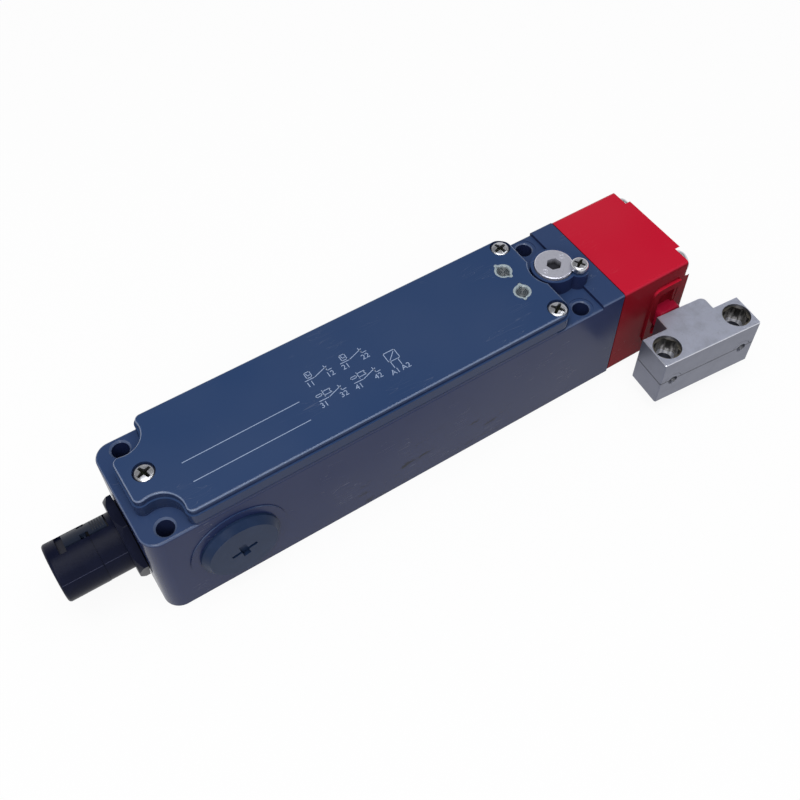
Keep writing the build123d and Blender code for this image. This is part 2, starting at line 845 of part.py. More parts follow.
def head_scallop(y, z):
    """Round pocket under a screw head, opened to the housing's corner."""
    seat = head_end_x - head_scallop_depth
    y1 = math.copysign(half_width + 2, y)
    z1 = head_mid_z + math.copysign(head_height / 2 + 1, z - head_mid_z)
    corner = block(seat, head_end_x + 1, min(y, y1), max(y, y1), min(z, z1), max(z, z1))
    return rod_x(seat, head_end_x + 1, y, z, head_scallop_r) + corner


def guide_body():
    shape = Pos(nose_x, -key_drop) * RectangleRounded(nose_width, 2 * nose_half_height, nose_corner_r)
    return on_front(shape, -half_width + head_wall, -half_width - nose_proud)


def nose_top():
    return key_mid_z + nose_half_height


def key_slot(extra):
    half = key_thickness / 2 + extra
    front = -half_width
    return block(slot_x - half, slot_x + half, front - 8, front + 8, key_bottom - extra, key_top + extra)


def make_slot_guide():
    guide = guide_body()
    outer_edges = guide.edges().filter_by(Plane.XZ).group_by(Axis.Y)[0]
    return fillet(outer_edges, 0.8) - key_slot(key_clearance)


def end_plug_body():
    shape = RectangleRounded(end_plug_width, end_plug_height, 1.2)
    plane = Plane(origin=(head_end_x - head_wall, end_plug_y, head_mid_z), x_dir=(0, 1, 0), z_dir=(1, 0, 0))
    return extrude(plane * shape, head_wall)


def make_end_plug():
    plug = end_plug_body()
    half_y = end_plug_width / 2 - end_plug_rim
    half_z = end_plug_height / 2 - end_plug_rim
    y0, y1 = end_plug_y - half_y, end_plug_y + half_y
    z0, z1 = head_mid_z - half_z, head_mid_z + half_z
    return plug - block(head_end_x - end_plug_sink, head_end_x + 1, y0, y1, z0, z1)


def make_head_gasket():
    half = half_width - gasket_inset
    sheet = block(casing_end_x, seam_x, -half, half, head_bottom + gasket_inset, head_top - 0.5)
    half = channel_half_width
    sheet -= block(casing_end_x - 1, seam_x + 1, -half, half, channel_bottom, channel_top)
    for y, z in head_screw_places():
        sheet -= rod_x(casing_end_x - 1, seam_x + 1, y, z, head_screw_r + 0.1)
    return sheet


def make_head_screws():
    recess = head_screw_head_r * 1.1
    screw = pan_screw(head_screw_r, head_screw_head_r, head_screw_head_height, head_screw_length, recess)
    seat = head_end_x - head_scallop_depth
    return Compound([along_x(screw, seat, y, z) for y, z in head_screw_places()])


def make_cam_axle():
    return post(cam_x, 0, head_bottom + axle_cover, head_top - axle_cover, cam_axle_r - 0.01)


def make_head_cam():
    hub = post(cam_x, 0, lobe_bottom, stop_bottom, cam_hub_r)
    hub += post(cam_x, 0, lobe_bottom, stop_top, stop_neck_r)
    tooth = block(cam_x + 3, cam_x + cam_tooth_reach, -cam_tooth_width / 2, cam_tooth_width / 2,
                  key_mid_z - cam_tooth_height / 2, key_mid_z + cam_tooth_height / 2)
    lobe = Pos(cam_x, 0, lobe_bottom) * extrude(lobe_outline(), lobe_height)
    stop = Pos(cam_x, 0, stop_bottom) * extrude(stop_outline(), stop_height)
    cam = hub + tooth + lobe + stop
    return cam - post(cam_x, 0, lobe_bottom - 1, stop_top + 1, cam_axle_r + cam_bore_clearance)


def stop_outline():
    """Sector that stands beside the extended lock rod and keeps the cam from turning."""
    first = math.radians(180 + stop_start)
    middle = math.radians(180 + stop_start + stop_span / 2)
    last = math.radians(180 + stop_start + stop_span)
    points = [(stop_r * math.cos(turn), stop_r * math.sin(turn)) for turn in (first, middle, last)]
    return make_face(Wire([Line((0, 0), points[0]), ThreePointArc(*points), Line(points[-1], (0, 0))]))


def lobe_outline():
    """Spiral that lifts the push rod evenly while the cam turns."""
    steps = 16
    points = []
    for i in range(steps + 1):
        share = i / steps
        turn = math.radians(180 + cam_turn * share)
        r = lobe_start_r + cam_lift * share
        points.append((r * math.cos(turn), r * math.sin(turn)))
    spiral = Spline(*points)
    before = math.radians(180 - 12)
    after = math.radians(180 + cam_turn + 12)
    flank_r = lobe_start_r + cam_lift - 0.4
    base_start = (lobe_start_r * math.cos(before), lobe_start_r * math.sin(before))
    crest_end = (flank_r * math.cos(after), flank_r * math.sin(after))
    flank = [Line(points[-1], crest_end), Line(crest_end, (0, 0))]
    base = [Line((0, 0), base_start), Line(base_start, points[0])]
    return make_face(Wire([spiral] + flank + base))


# Rods and their guide

def make_rod_guide():
    x1 = casing_end_x - 0.1
    x0 = x1 - guide_thickness
    half = channel_half_width - 0.05
    guide = block(x0, x1, -half, half, channel_bottom + 0.05, channel_top - 0.05)
    for z in (push_rod_z, lock_rod_z):
        guide -= rod_x(x0 - 1, x1 + 1, 0, z, rod_r + rod_running_gap)
    return guide


def push_rod_tip():
    return cam_x - lobe_start_r - 0.3


def rod_left_end():
    return contact_start + contact_wall + 2.4


def push_collar_x():
    return contact_end + push_spring_length + 0.2


def make_push_rod():
    rod = rod_x(rod_left_end(), push_rod_tip(), 0, push_rod_z, rod_r)
    rod = fillet(rod.edges().group_by(Axis.X)[-1], rod_r * 0.9)
    return rod + rod_x(push_collar_x(), push_collar_x() + collar_thickness, 0, push_rod_z, collar_r)


def lock_collar_x():
    return solenoid_end + lock_spring_length + 0.2


def slider_top():
    return lock_rod_z + rod_r + 0.6


def make_lock_rod():
    tip = cam_x - stop_r - 0.5
    rod = rod_x(rod_left_end(), tip, 0, lock_rod_z, rod_r)
    rod = chamfer(rod.edges().group_by(Axis.X)[-1], 0.5)
    rod += rod_x(lock_collar_x(), lock_collar_x() + collar_thickness, 0, lock_rod_z, collar_r)
    reach = 2 * eccentric_pin_r + 1.3
    rod += block(lock_slider_x - 4, lock_slider_x + 4, -4.2, 4.2, lock_rod_z - rod_r, slider_top())
    x0, x1 = lock_slider_x - reach / 2, lock_slider_x + reach / 2
    return rod - block(x0, x1, -5, 5, slider_top() - 2.6, slider_top() + 1)


# Solenoid

def yoke_base():
    return lock_rod_z - coil_r - 0.5 - yoke_thickness


def pillar_places():
    return (solenoid_start + 8, solenoid_end - 8)


def pillar_y():
    return yoke_width / 2 - 2.6


def make_yoke():
    z0 = yoke_base()
    top = lock_rod_z + coil_r
    half = yoke_plate_width / 2
    yoke = block(solenoid_start, solenoid_end, -yoke_width / 2, yoke_width / 2, z0, z0 + yoke_thickness)
    yoke += block(solenoid_start, solenoid_start + yoke_thickness, -half, half, z0, top)
    yoke += block(solenoid_end - yoke_thickness, solenoid_end, -half, half, z0, top)
    yoke -= rod_x(solenoid_start - 1, solenoid_end + 1, 0, lock_rod_z, rod_r + 0.3)
    for side in (-1, 1):
        for x in pillar_places():
            yoke -= post(x, side * pillar_y(), z0 - 1, z0 + yoke_thickness + 1, unit_screw_r + 0.1)
    return yoke


def bobbin_ends():
    return solenoid_start + yoke_thickness, solenoid_end - yoke_thickness


def make_bobbin():
    x0, x1 = bobbin_ends()
    bobbin = rod_x(x0, x1, 0, lock_rod_z, bobbin_r)
    bobbin += rod_x(x0, x0 + bobbin_flange, 0, lock_rod_z, bobbin_flange_r - 0.5)
    bobbin += rod_x(x1 - bobbin_flange, x1, 0, lock_rod_z, bobbin_flange_r - 0.5)
    return bobbin - rod_x(x0 - 1, x1 + 1, 0, lock_rod_z, bobbin_bore_r)


def make_coil():
    x0, x1 = bobbin_ends()
    coil = rod_x(x0 + bobbin_flange, x1 - bobbin_flange, 0, lock_rod_z, coil_r)
    return coil - rod_x(x0, x1, 0, lock_rod_z, bobbin_r)


def make_core():
    x0, _ = bobbin_ends()
    core = rod_x(x0, x0 + core_length, 0, lock_rod_z, bobbin_bore_r)
    return core - rod_x(x0 - 1, x0 + core_length + 1, 0, lock_rod_z, rod_r + 0.3)


def make_armature():
    x0 = bobbin_ends()[0] + core_length + 0.3
    armature = rod_x(x0, x0 + armature_length, 0, lock_rod_z, core_r)
    return armature - rod_x(x0 - 1, x0 + armature_length + 1, 0, lock_rod_z, rod_r)


def make_solenoid_screws():
    screw = pan_screw(unit_screw_r, unit_head_r, unit_head_height, pillar_screw_length, unit_recess)
    seat = yoke_base() + yoke_thickness
    places = [(x, side * pillar_y()) for x in pillar_places() for side in (-1, 1)]
    return Compound([Pos(x, y, seat) * screw for x, y in places])


# Contact unit

def unit_screw_places():
    return [(contact_start + unit_screw_inset, 0.0), (contact_end - unit_screw_inset, 0.0)]


def earth_place():
    return (contact_start - 6.5, -9.0)


def earth_seat():
    return cavity_floor + 3.0


def make_contact_housing():
    half = contact_width / 2
    unit = block(contact_start, contact_end, -half, half, contact_bottom, contact_ledge_height)
    inner = half - ledge_width
    unit -= block(contact_start + contact_wall, contact_end - contact_wall, -inner, inner,
                  contact_bottom + contact_wall, contact_ledge_height + 1)
    fence_top = contact_ledge_height + fence_height
    for i in range(column_count - 1):
        x = (contact_columns[i] + contact_columns[i + 1]) / 2
        for side in (-1, 1):
            y0, y1 = sorted((side * inner, side * half))
            unit += block(x - 0.6, x + 0.6, y0, y1, contact_ledge_height, fence_top)
    for z in (push_rod_z, lock_rod_z):
        unit -= rod_x(contact_start - 1, contact_end + 1, 0, z, rod_r + rod_running_gap)
    for x, y in unit_screw_places():
        unit -= post(x, y, contact_bottom - 1, contact_bottom + 4, unit_screw_r + 0.1)
    for x in contact_columns:
        for side in (-1, 1):
            bottom = contact_ledge_height - terminal_screw_length
            unit -= post(x, side * terminal_y(), bottom, contact_ledge_height + 1, terminal_screw_r)
    return unit


def terminal_y():
    return contact_width / 2 - ledge_width / 2


def contact_level(index):
    return push_rod_z if index % 2 == 0 else lock_rod_z


def bridge_face(index):
    """X of the bridge's contact face at rest."""
    return contact_columns[index]


def tip_x(index):
    travel = 0 if index % 2 == 0 else lock_travel
    return bridge_face(index) + travel + tip_gap


def make_fixed_contacts():
    half = contact_width / 2
    inner = half - ledge_width
    strips = []
    for index in range(column_count - 1):
        level = contact_level(index)
        x = contact_columns[index]
        tip = tip_x(index)
        for side in (-1, 1):
            top = contact_ledge_height + strip_thickness
            x0, x1 = x - terminal_width / 2, x + terminal_width / 2
            tip_end = tip + strip_thickness
            wall = inner - strip_thickness
            strip = block(x0, x1, wall, half - strip_inset, contact_ledge_height, top)
            strip += block(x0, tip_end, wall, inner, contact_ledge_height - 1, top)
            z0, z1 = level - tip_half_height, level + tip_half_height
            strip += block(tip, tip_end, wall, inner, z0, top)
            strip += block(tip, tip_end, contact_tip_start, inner, z0, z1)
            strip -= post(x, terminal_y(), contact_ledge_height - 1, top + 1, terminal_screw_r)
            strips.append(strip if side > 0 else mirror(strip, Plane.XZ))
    return Compound(strips)


def make_coil_terminals():
    half = contact_width / 2
    x = contact_columns[-1]
    plates = []
    for side in (-1, 1):
        plate = block(x - terminal_width / 2, x + terminal_width / 2, half - ledge_width, half - strip_inset,
                      contact_ledge_height, contact_ledge_height + strip_thickness)
        plate -= post(x, terminal_y(), contact_ledge_height - 1, contact_ledge_height + 2, terminal_screw_r)
        plates.append(plate if side > 0 else mirror(plate, Plane.XZ))
    return Compound(plates)


def make_terminal_screws():
    length = terminal_screw_length
    screw = pan_screw(terminal_screw_r, terminal_head_r, terminal_head_height, length, terminal_recess)
    seat = contact_ledge_height + strip_thickness
    places = [(x, side * terminal_y()) for x in contact_columns for side in (-1, 1)]
    return Compound([Pos(x, y, seat) * screw for x, y in places])


def make_unit_screws():
    screw = pan_screw(unit_screw_r, unit_head_r, unit_head_height, unit_screw_length, unit_recess)
    return Compound([Pos(x, y, contact_bottom + contact_wall) * screw for x, y in unit_screw_places()])


def make_bridges(level):
    bars = []
    for index in range(column_count - 1):
        if contact_level(index) != level:
            continue
        face = bridge_face(index)
        bottom, top = level - bridge_height / 2, level + bridge_height / 2
        bar = block(face - bridge_thickness, face, -bridge_half_length, bridge_half_length, bottom, top)
        bars.append(bar - rod_x(face - 3, face + 1, 0, level, rod_r))
    return Compound(bars)


def make_earth_screw():
    screw = pan_screw(cover_screw_r, earth_head_r, earth_head_height, earth_screw_length, earth_recess)
    washer = ring(0, 0, 0, earth_washer_thickness, earth_washer_r, cover_screw_r)
    x, y = earth_place()
    return Pos(x, y, earth_seat()) * (washer + Pos(0, 0, earth_washer_thickness) * screw)


# Actuator

def block_place():
    return Pos(slot_x, block_pivot_y, 0) * Rot(0, 0, block_yaw)


def block_plan():
    plan = Rectangle(block_length, block_width)
    stem = Pos(0, block_width / 2 + stem_length / 2 - 1) * Rectangle(stem_width, stem_length + 2)
    stem = fillet(stem.vertices().group_by(Axis.Y)[-1].sort_by(Axis.X)[-1], stem_corner_r)
    return plan, stem


def tilt_cavity():
    """Space in which the tongue's root swings about the pivot pin."""
    reach = block_width / 2 + stem_length + 1
    root = key_thickness / 2 + 0.5
    end = root + reach * math.tan(math.radians(tilt_limit + 0.5))
    wedge = make_face(Polyline((-root, 0), (-end, reach), (end, reach), (root, 0), close=True))
    wedge += Circle(knuckle_r + 0.5)
    return prism(wedge, block_split - 0.5, key_top + 0.3)


def set_screw_z():
    return block_split - set_screw_below_split


def set_screw_end():
    return -block_hole_r - set_screw_wall


def set_screw_ear_end():
    return -block_counterbore_r + 0.2


def make_upper_half():
    plan, stem = block_plan()
    half = prism(plan, block_split + split_gap / 2, block_top)
    half = chamfer(half.edges().filter_by(Axis.Z).group_by(Axis.Y)[0], block_edge)
    half += prism(stem, block_split + split_gap / 2, block_top)
    half = chamfer(half.edges().group_by(Axis.Z)[-1], 0.25)
    half -= tilt_cavity()
    half -= post(0, 0, block_split, block_top - 0.9, pivot_pin_r + 0.02)
    for side in (-1, 1):
        x = side * block_hole_spacing / 2
        half -= post(x, 0, block_split - 1, block_top + 1, block_hole_r)
        half -= post(x, 0, block_top - block_counterbore_depth, block_top + 1, block_counterbore_r)
        half -= rod_y(x, -block_width, set_screw_ear_end(), set_screw_z(), set_screw_ear_r + split_gap)
        half -= rod_y(x, -block_width, set_screw_end(), set_screw_z(), set_screw_r)
    return block_place() * half


def make_lower_half():
    plan, _ = block_plan()
    half = prism(plan, block_bottom, block_split - split_gap / 2)
    half = chamfer(half.edges().filter_by(Axis.Z).group_by(Axis.Y)[0], block_edge)
    half = chamfer(half.edges().group_by(Axis.Z)[0], 0.25)
    half += post(0, 0, block_split - 1, key_bottom - 0.12, knuckle_r - 0.3)
    for side in (-1, 1):
        x = side * block_hole_spacing / 2
        half += rod_y(x, -block_width / 2, set_screw_ear_end(), set_screw_z(), set_screw_ear_r)
        half -= post(x, 0, block_bottom - 1, block_top, block_hole_r)
        half -= rod_y(x, -block_width, set_screw_end(), set_screw_z(), set_screw_r)
    half -= post(0, 0, block_bottom + 4, block_top, pivot_pin_r + 0.02)
    return block_place() * half


def make_pivot_pin():
    return block_place() * post(0, 0, block_bottom + 4, block_top - 1.0, pivot_pin_r)


def make_sleeves():
    """Bushes with a lobed bore in the counterbores that the fixing screws' heads sit in."""
    z0 = block_top - block_counterbore_depth
    z1 = block_top - sleeve_sink
    sleeve = ring(0, 0, z0, z1, block_counterbore_r, sleeve_bore_r)
    for i in range(sleeve_lobes):
        turn = math.radians(360 / sleeve_lobes * i + 10)
        x, y = sleeve_lobe_reach * math.cos(turn), sleeve_lobe_reach * math.sin(turn)
        sleeve -= post(x, y, z0 - 1, z1 + 1, sleeve_lobe_r)
    places = [side * block_hole_spacing / 2 for side in (-1, 1)]
    return Compound([block_place() * Pos(x, 0, 0) * sleeve for x in places])


def make_set_screws():
    y0 = -block_width / 2 + set_screw_sink
    screws = []
    for side in (-1, 1):
        x = side * block_hole_spacing / 2
        screw = rod_y(x, y0, set_screw_end(), set_screw_z(), set_screw_r - 0.02)
        socket = Pos(x, y0 + 1.0, set_screw_z()) * Rot(90, 0, 0) * hex_bar(1.5, 2)
        screws.append(block_place() * (screw - socket))
    return Compound(screws)


def make_key():
    tip = key_reach
    root = block_pivot_y
    key = block(slot_x - key_thickness / 2, slot_x + key_thickness / 2, root, tip, key_bottom, key_top)
    key = chamfer(key.edges().filter_by(Axis.Z).group_by(Axis.Y)[-1], 0.9)
    key += post(slot_x, root, key_bottom, key_top, knuckle_r)
    window_bottom = key_mid_z - key_window_height / 2
    window_top = key_mid_z + key_window_height / 2
    key -= block(slot_x - 5, slot_x + 5, -key_window_back, tip - key_tip_bar, window_bottom, window_top)
    return key - post(slot_x, root, key_bottom - 1, key_top + 1, pivot_pin_r + 0.05)


# Springs

def make_lock_spring():
    spring = coil_spring(lock_spring_length, spring_r, spring_wire_r, spring_turns)
    return along_x(spring, solenoid_end + 0.1, 0, lock_rod_z)


def make_push_spring():
    spring = coil_spring(push_spring_length, spring_r, spring_wire_r, spring_turns)
    return along_x(spring, contact_end + 0.1, 0, push_rod_z)


nodes = {
    "casing": make_casing,
    "cover": make_cover,
    "cover_gasket": make_cover_gasket,
    "cover_screws": make_cover_screws,
    "indicator_lens_1": lambda: make_lens(0),
    "indicator_lens_2": lambda: make_lens(1),
    "indicator_leds": make_leds,
    "indicator_board": make_board,
    "release_disc": make_release_disc,
    "release_shaft": make_release_shaft,
    "release_seal": make_release_seal,
    "release_retaining_screw": make_retaining_screw,
    "release_retaining_washer": make_retaining_washer,
    "conduit_plug_front": lambda: make_plug(-1),
    "conduit_plug_rear": lambda: make_plug(1),
    "plug_seal_front": lambda: make_plug_seal(-1),
    "plug_seal_rear": lambda: make_plug_seal(1),
    "connector_nut": make_connector_nut,
    "connector_shell": make_connector_shell,
    "connector_sleeve": make_connector_sleeve,
    "connector_latch": make_connector_latch,
    "connector_insert": make_connector_insert,
    "connector_pins": make_connector_pins,
    "connector_seal": make_connector_seal,
    "connector_leads": make_connector_leads,
    "head_housing": make_head_housing,
    "slot_guide": make_slot_guide,
    "end_slot_plug": make_end_plug,
    "head_gasket": make_head_gasket,
    "head_screws": make_head_screws,
    "cam_axle": make_cam_axle,
    "head_cam": make_head_cam,
    "rod_guide": make_rod_guide,
    "push_rod": make_push_rod,
    "push_rod_spring": make_push_spring,
    "lock_rod": make_lock_rod,
    "lock_spring": make_lock_spring,
    "solenoid_yoke": make_yoke,
    "solenoid_bobbin": make_bobbin,
    "solenoid_coil": make_coil,
    "solenoid_core": make_core,
    "solenoid_armature": make_armature,
    "solenoid_screws": make_solenoid_screws,
    "contact_housing": make_contact_housing,
    "fixed_contacts": make_fixed_contacts,
    "coil_terminals": make_coil_terminals,
    "terminal_screws": make_terminal_screws,
    "contact_housing_screws": make_unit_screws,
    "key_contact_bridges": lambda: make_bridges(push_rod_z),
    "lock_contact_bridges": lambda: make_bridges(lock_rod_z),
    "earth_screw": make_earth_screw,
    "actuator_key": make_key,
    "actuator_upper_half": make_upper_half,
    "actuator_lower_half": make_lower_half,
    "actuator_pivot_pin": make_pivot_pin,
    "actuator_sleeves": make_sleeves,
    "actuator_set_screws": make_set_screws,
}

os.makedirs("parts", exist_ok=True)
for name, make in nodes.items():
    export_step(make(), f"parts/{name}.step")
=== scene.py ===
"""Looks of a tongue interlock switch: finishes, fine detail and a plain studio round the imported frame."""

from dataclasses import dataclass, field
from enum import Enum
import json
import logging
import math

import bmesh
import bpy
from mathutils import Euler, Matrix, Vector
import numpy as np

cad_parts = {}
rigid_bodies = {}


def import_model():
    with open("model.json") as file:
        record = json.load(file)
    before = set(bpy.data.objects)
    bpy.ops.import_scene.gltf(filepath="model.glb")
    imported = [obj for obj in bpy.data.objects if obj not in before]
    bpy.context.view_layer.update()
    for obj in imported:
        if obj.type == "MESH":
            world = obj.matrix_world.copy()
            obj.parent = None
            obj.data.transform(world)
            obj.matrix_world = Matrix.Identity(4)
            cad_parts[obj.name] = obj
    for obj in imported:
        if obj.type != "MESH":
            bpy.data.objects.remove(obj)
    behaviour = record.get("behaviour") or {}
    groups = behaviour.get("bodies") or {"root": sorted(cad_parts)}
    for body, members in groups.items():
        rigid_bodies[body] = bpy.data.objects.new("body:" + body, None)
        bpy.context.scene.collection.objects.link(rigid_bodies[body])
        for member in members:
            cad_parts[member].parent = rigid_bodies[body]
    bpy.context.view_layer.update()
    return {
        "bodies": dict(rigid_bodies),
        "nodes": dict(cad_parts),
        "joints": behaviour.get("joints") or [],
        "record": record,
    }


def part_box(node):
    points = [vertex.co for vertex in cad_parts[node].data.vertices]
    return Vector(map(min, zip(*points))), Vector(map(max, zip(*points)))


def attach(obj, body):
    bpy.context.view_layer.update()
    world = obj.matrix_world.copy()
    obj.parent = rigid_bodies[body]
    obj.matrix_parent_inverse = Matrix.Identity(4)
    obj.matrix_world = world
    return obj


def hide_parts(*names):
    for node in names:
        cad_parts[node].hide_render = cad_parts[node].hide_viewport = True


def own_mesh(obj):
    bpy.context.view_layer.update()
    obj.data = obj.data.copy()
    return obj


log = logging.getLogger("interlock_switch")
MM = 0.001
RECESS = "recess"

Triple = tuple[float, float, float]
Colour = Triple
Stroke = list[tuple[float, float]]
Grid = np.ndarray


# Colours

def srgb(red: int, green: int, blue: int) -> Colour:
    """Turns a colour as seen on a screen into the linear values that a shader takes.

    Args:
        red: Red, 0 to 255.
        green: Green, 0 to 255.
        blue: Blue, 0 to 255.

    Returns:
        The three linear values, each 0 to 1.
    """
    def linear(level: int) -> float:
        """Undoes the screen's curve for one channel."""
        share = level / 255
        return share / 12.92 if share <= 0.04045 else ((share + 0.055) / 1.055) ** 2.4

    return linear(red), linear(green), linear(blue)


def finish_name(slot: str) -> str:
    """Name of the node material that dresses a record slot."""
    return f"{slot}_finish"


# Shader maths

class Wire:
    """A shader socket whose arithmetic adds Math nodes, so that a formula reads as one."""

    def __init__(self, nodes: "Nodes", socket: bpy.types.NodeSocket) -> None:
        """Keeps the socket and the nodes that it belongs to.

        Args:
            nodes: The node tree being built.
            socket: An output socket of one of its nodes.
        """
        self.nodes = nodes
        self.socket = socket

    def maths(self, operation: str, *others: "Wire | float", clamp: bool = False) -> "Wire":
        """Adds one Math node that takes this socket first.

        Args:
            operation: The Math node's operation.
            others: Its other inputs, sockets or numbers.
            clamp: Whether the result is kept between 0 and 1.

        Returns:
            The node's result.
        """
        settings = {"operation": operation, "use_clamp": clamp}
        inputs = {place: value for place, value in enumerate((self, *others))}
        return self.nodes.add("ShaderNodeMath", settings, inputs)

    def after(self, operation: str, first: "Wire | float") -> "Wire":
        """Adds one Math node that takes this socket second."""
        return self.nodes.add("ShaderNodeMath", {"operation": operation}, {0: first, 1: self})

    def __add__(self, other: "Wire | float") -> "Wire":
        """Sum."""
        return self.maths("ADD", other)

    __radd__ = __add__

    def __sub__(self, other: "Wire | float") -> "Wire":
        """Difference."""
        return self.maths("SUBTRACT", other)

    def __rsub__(self, other: float) -> "Wire":
        """Difference with a number on the left."""
        return self.after("SUBTRACT", other)

    def __mul__(self, other: "Wire | float") -> "Wire":
        """Product."""
        return self.maths("MULTIPLY", other)

    __rmul__ = __mul__

    def __truediv__(self, other: "Wire | float") -> "Wire":
        """Quotient."""
        return self.maths("DIVIDE", other)

    def __pow__(self, other: float) -> "Wire":
        """Power."""
        return self.maths("POWER", other)

    def __abs__(self) -> "Wire":
        """Size without its sign."""
        return self.maths("ABSOLUTE")

    def smaller(self, other: "Wire | float") -> "Wire":
        """The smaller of the two."""
        return self.maths("MINIMUM", other)

    def larger(self, other: "Wire | float") -> "Wire":
        """The larger of the two."""
        return self.maths("MAXIMUM", other)

    def clamped(self) -> "Wire":
        """This value kept between 0 and 1."""
        return self.maths("ADD", 0.0, clamp=True)

    def sine(self) -> "Wire":
        """Sine of this value."""
        return self.maths("SINE")

    def ease(self, low: float, high: float) -> "Wire":
        """Smooth step: 0 below low, 1 above high.

        Args:
            low: Where the step starts.
            high: Where it ends. It may be the smaller of the two, and the step then falls.

        Returns:
            The eased value.
        """
        share = ((self - low) / (high - low)).clamped()
        return share * share * (3.0 - 2.0 * share)


class Nodes:
    """Any node tree while it is put together."""

    def __init__(self, tree: bpy.types.NodeTree) -> None:
        """Keeps the tree.

        Args:
            tree: The node tree of a material or of the world.
        """
        self.tree = tree

    def add(self, kind: str, settings: dict[str, object] | None = None,
            inputs: dict[object, object] | None = None, out: int | str = 0) -> Wire:
        """Adds any node, sets it, feeds it and hands back one of its outputs.

        Args:
            kind: The node's type.
            settings: Its settings, which are set first.
            inputs: Values or sockets by the input's place or name.
            out: Which output to hand back.

        Returns:
            The chosen output.
        """
        node = self.tree.nodes.new(kind)
        for key, value in (settings or {}).items():
            setattr(node, key, value)
        for key, value in (inputs or {}).items():
            self.feed(node.inputs[key], value)
        return Wire(self, node.outputs[out])

    def feed(self, socket: bpy.types.NodeSocket, value: object) -> None:
        """Links a socket to a wire, or sets its number or colour.

        Args:
            socket: An input socket.
            value: A wire, a number, or a tuple.
        """
        if isinstance(value, Wire):
            self.tree.links.new(value.socket, socket)
        elif isinstance(value, tuple) and socket.type == "RGBA" and len(value) == 3:
            socket.default_value = (*value, 1.0)
        else:
            socket.default_value = value

    def ray(self, kind: str) -> Wire:
        """1 for rays of one kind, such as Camera or Glossy, and 0 for others."""
        return self.add("ShaderNodeLightPath", out=f"Is {kind} Ray")


class Shader(Nodes):
    """One node material while it is put together."""

    def __init__(self, name: str) -> None:
        """Starts an empty material with a Principled shader.

        Args:
            name: The material's name.
        """
        self.material = bpy.data.materials.new(finish_name(name))
        self.material.use_nodes = True
        super().__init__(self.material.node_tree)
        self.principled = self.tree.nodes["Principled BSDF"]
        self._place: Wire | None = None

    @property
    def place(self) -> Wire:
        """The point on the surface in the object's own frame, in metres."""
        if self._place is None:
            self._place = self.add("ShaderNodeTexCoord", out="Object")
        return self._place

    def axes(self, point: Wire | None = None) -> tuple[Wire, Wire, Wire]:
        """Splits a point into its X, Y and Z.

        Args:
            point: The point, or the surface point if not given.

        Returns:
            The three numbers.
        """
        node = self.tree.nodes.new("ShaderNodeSeparateXYZ")
        self.feed(node.inputs[0], point or self.place)
        return Wire(self, node.outputs[0]), Wire(self, node.outputs[1]), Wire(self, node.outputs[2])

    def normal_axes(self) -> tuple[Wire, Wire, Wire]:
        """Splits the surface's direction in the object's frame into X, Y and Z."""
        return self.axes(self.add("ShaderNodeTexCoord", out="Normal"))

    def noise(self, size: float, detail: float = 3.0, roughness: float = 0.5) -> Wire:
        """Cloudy noise from 0 to 1 at the surface point.

        Args:
            size: Size of its largest blots, in millimetres.
            detail: How many finer layers it has.
            roughness: How strong the finer layers are.

        Returns:
            The noise.
        """
        inputs = {"Vector": self.place, "Scale": 1 / (size * MM), "Detail": detail, "Roughness": roughness}
        return self.add("ShaderNodeTexNoise", None, inputs)

    def stretched(self, turn: Triple, size: Triple, detail: float = 1.0, roughness: float = 0.5) -> Wire:
        """Noise from 0 to 1 that is turned and stretched, for patterns that run one way.

        Args:
            turn: Turn of the pattern about X, Y and Z, in degrees.
            size: Size of the pattern along its own X, Y and Z, in millimetres.
            detail: How many finer layers it has.
            roughness: How strong the finer layers are.

        Returns:
            The noise.
        """
        radians = tuple(math.radians(angle) for angle in turn)
        scale = tuple(1 / (part * MM) for part in size)
        mapping = {"Vector": self.place, "Rotation": radians, "Scale": scale}
        point = self.add("ShaderNodeMapping", None, mapping)
        inputs = {"Vector": point, "Scale": 1.0, "Detail": detail, "Roughness": roughness}
        return self.add("ShaderNodeTexNoise", None, inputs)

    def blend(self, first: object, second: object, share: object) -> Wire:
        """Mixes two colours.

        Args:
            first: Colour at share 0.
            second: Colour at share 1.
            share: The mixing share.

        Returns:
            The mixed colour.
        """
        return self.add("ShaderNodeMix", {"data_type": "RGBA"}, {0: share, 6: first, 7: second}, out=2)

    def bump(self, height: Wire, depth: float) -> Wire:
        """Turns a height into a surface direction.

        Args:
            height: The height, 0 to 1.
            depth: What a height of 1 stands for, in millimetres.

        Returns:
            The surface direction.
        """
        inputs = {"Height": height, "Distance": depth * MM, "Strength": 1.0}
        return self.add("ShaderNodeBump", None, inputs)

    def streaks(self, turn: Triple, size: Triple, width: float) -> Wire:
        """Thin lines that wander one way, such as hairline scratches.

        The line lies where a stretched noise crosses one half.

        Args:
            turn: Turn of the pattern about X, Y and Z, in degrees.
            size: Size of the pattern along its own X, Y and Z, in millimetres.
            width: Line width as a share of the noise's range.

        Returns:
            1 on a line, 0 off it.
        """
        return abs(self.stretched(turn, size) - 0.5).ease(width, 0.0)

    def recess(self) -> Wire:
        """How deep in a recess the point lies, 0 to 1, and 0 on pieces that have none."""
        return self.add("ShaderNodeAttribute", {"attribute_name": RECESS}, None, "Fac")

    def set(self, **inputs: object) -> None:
        """Sets the Principled shader's sockets, with an underscore for each space in a name."""
        for key, value in inputs.items():
            self.feed(self.principled.inputs[key.replace("_", " ")], value)


# Finishes

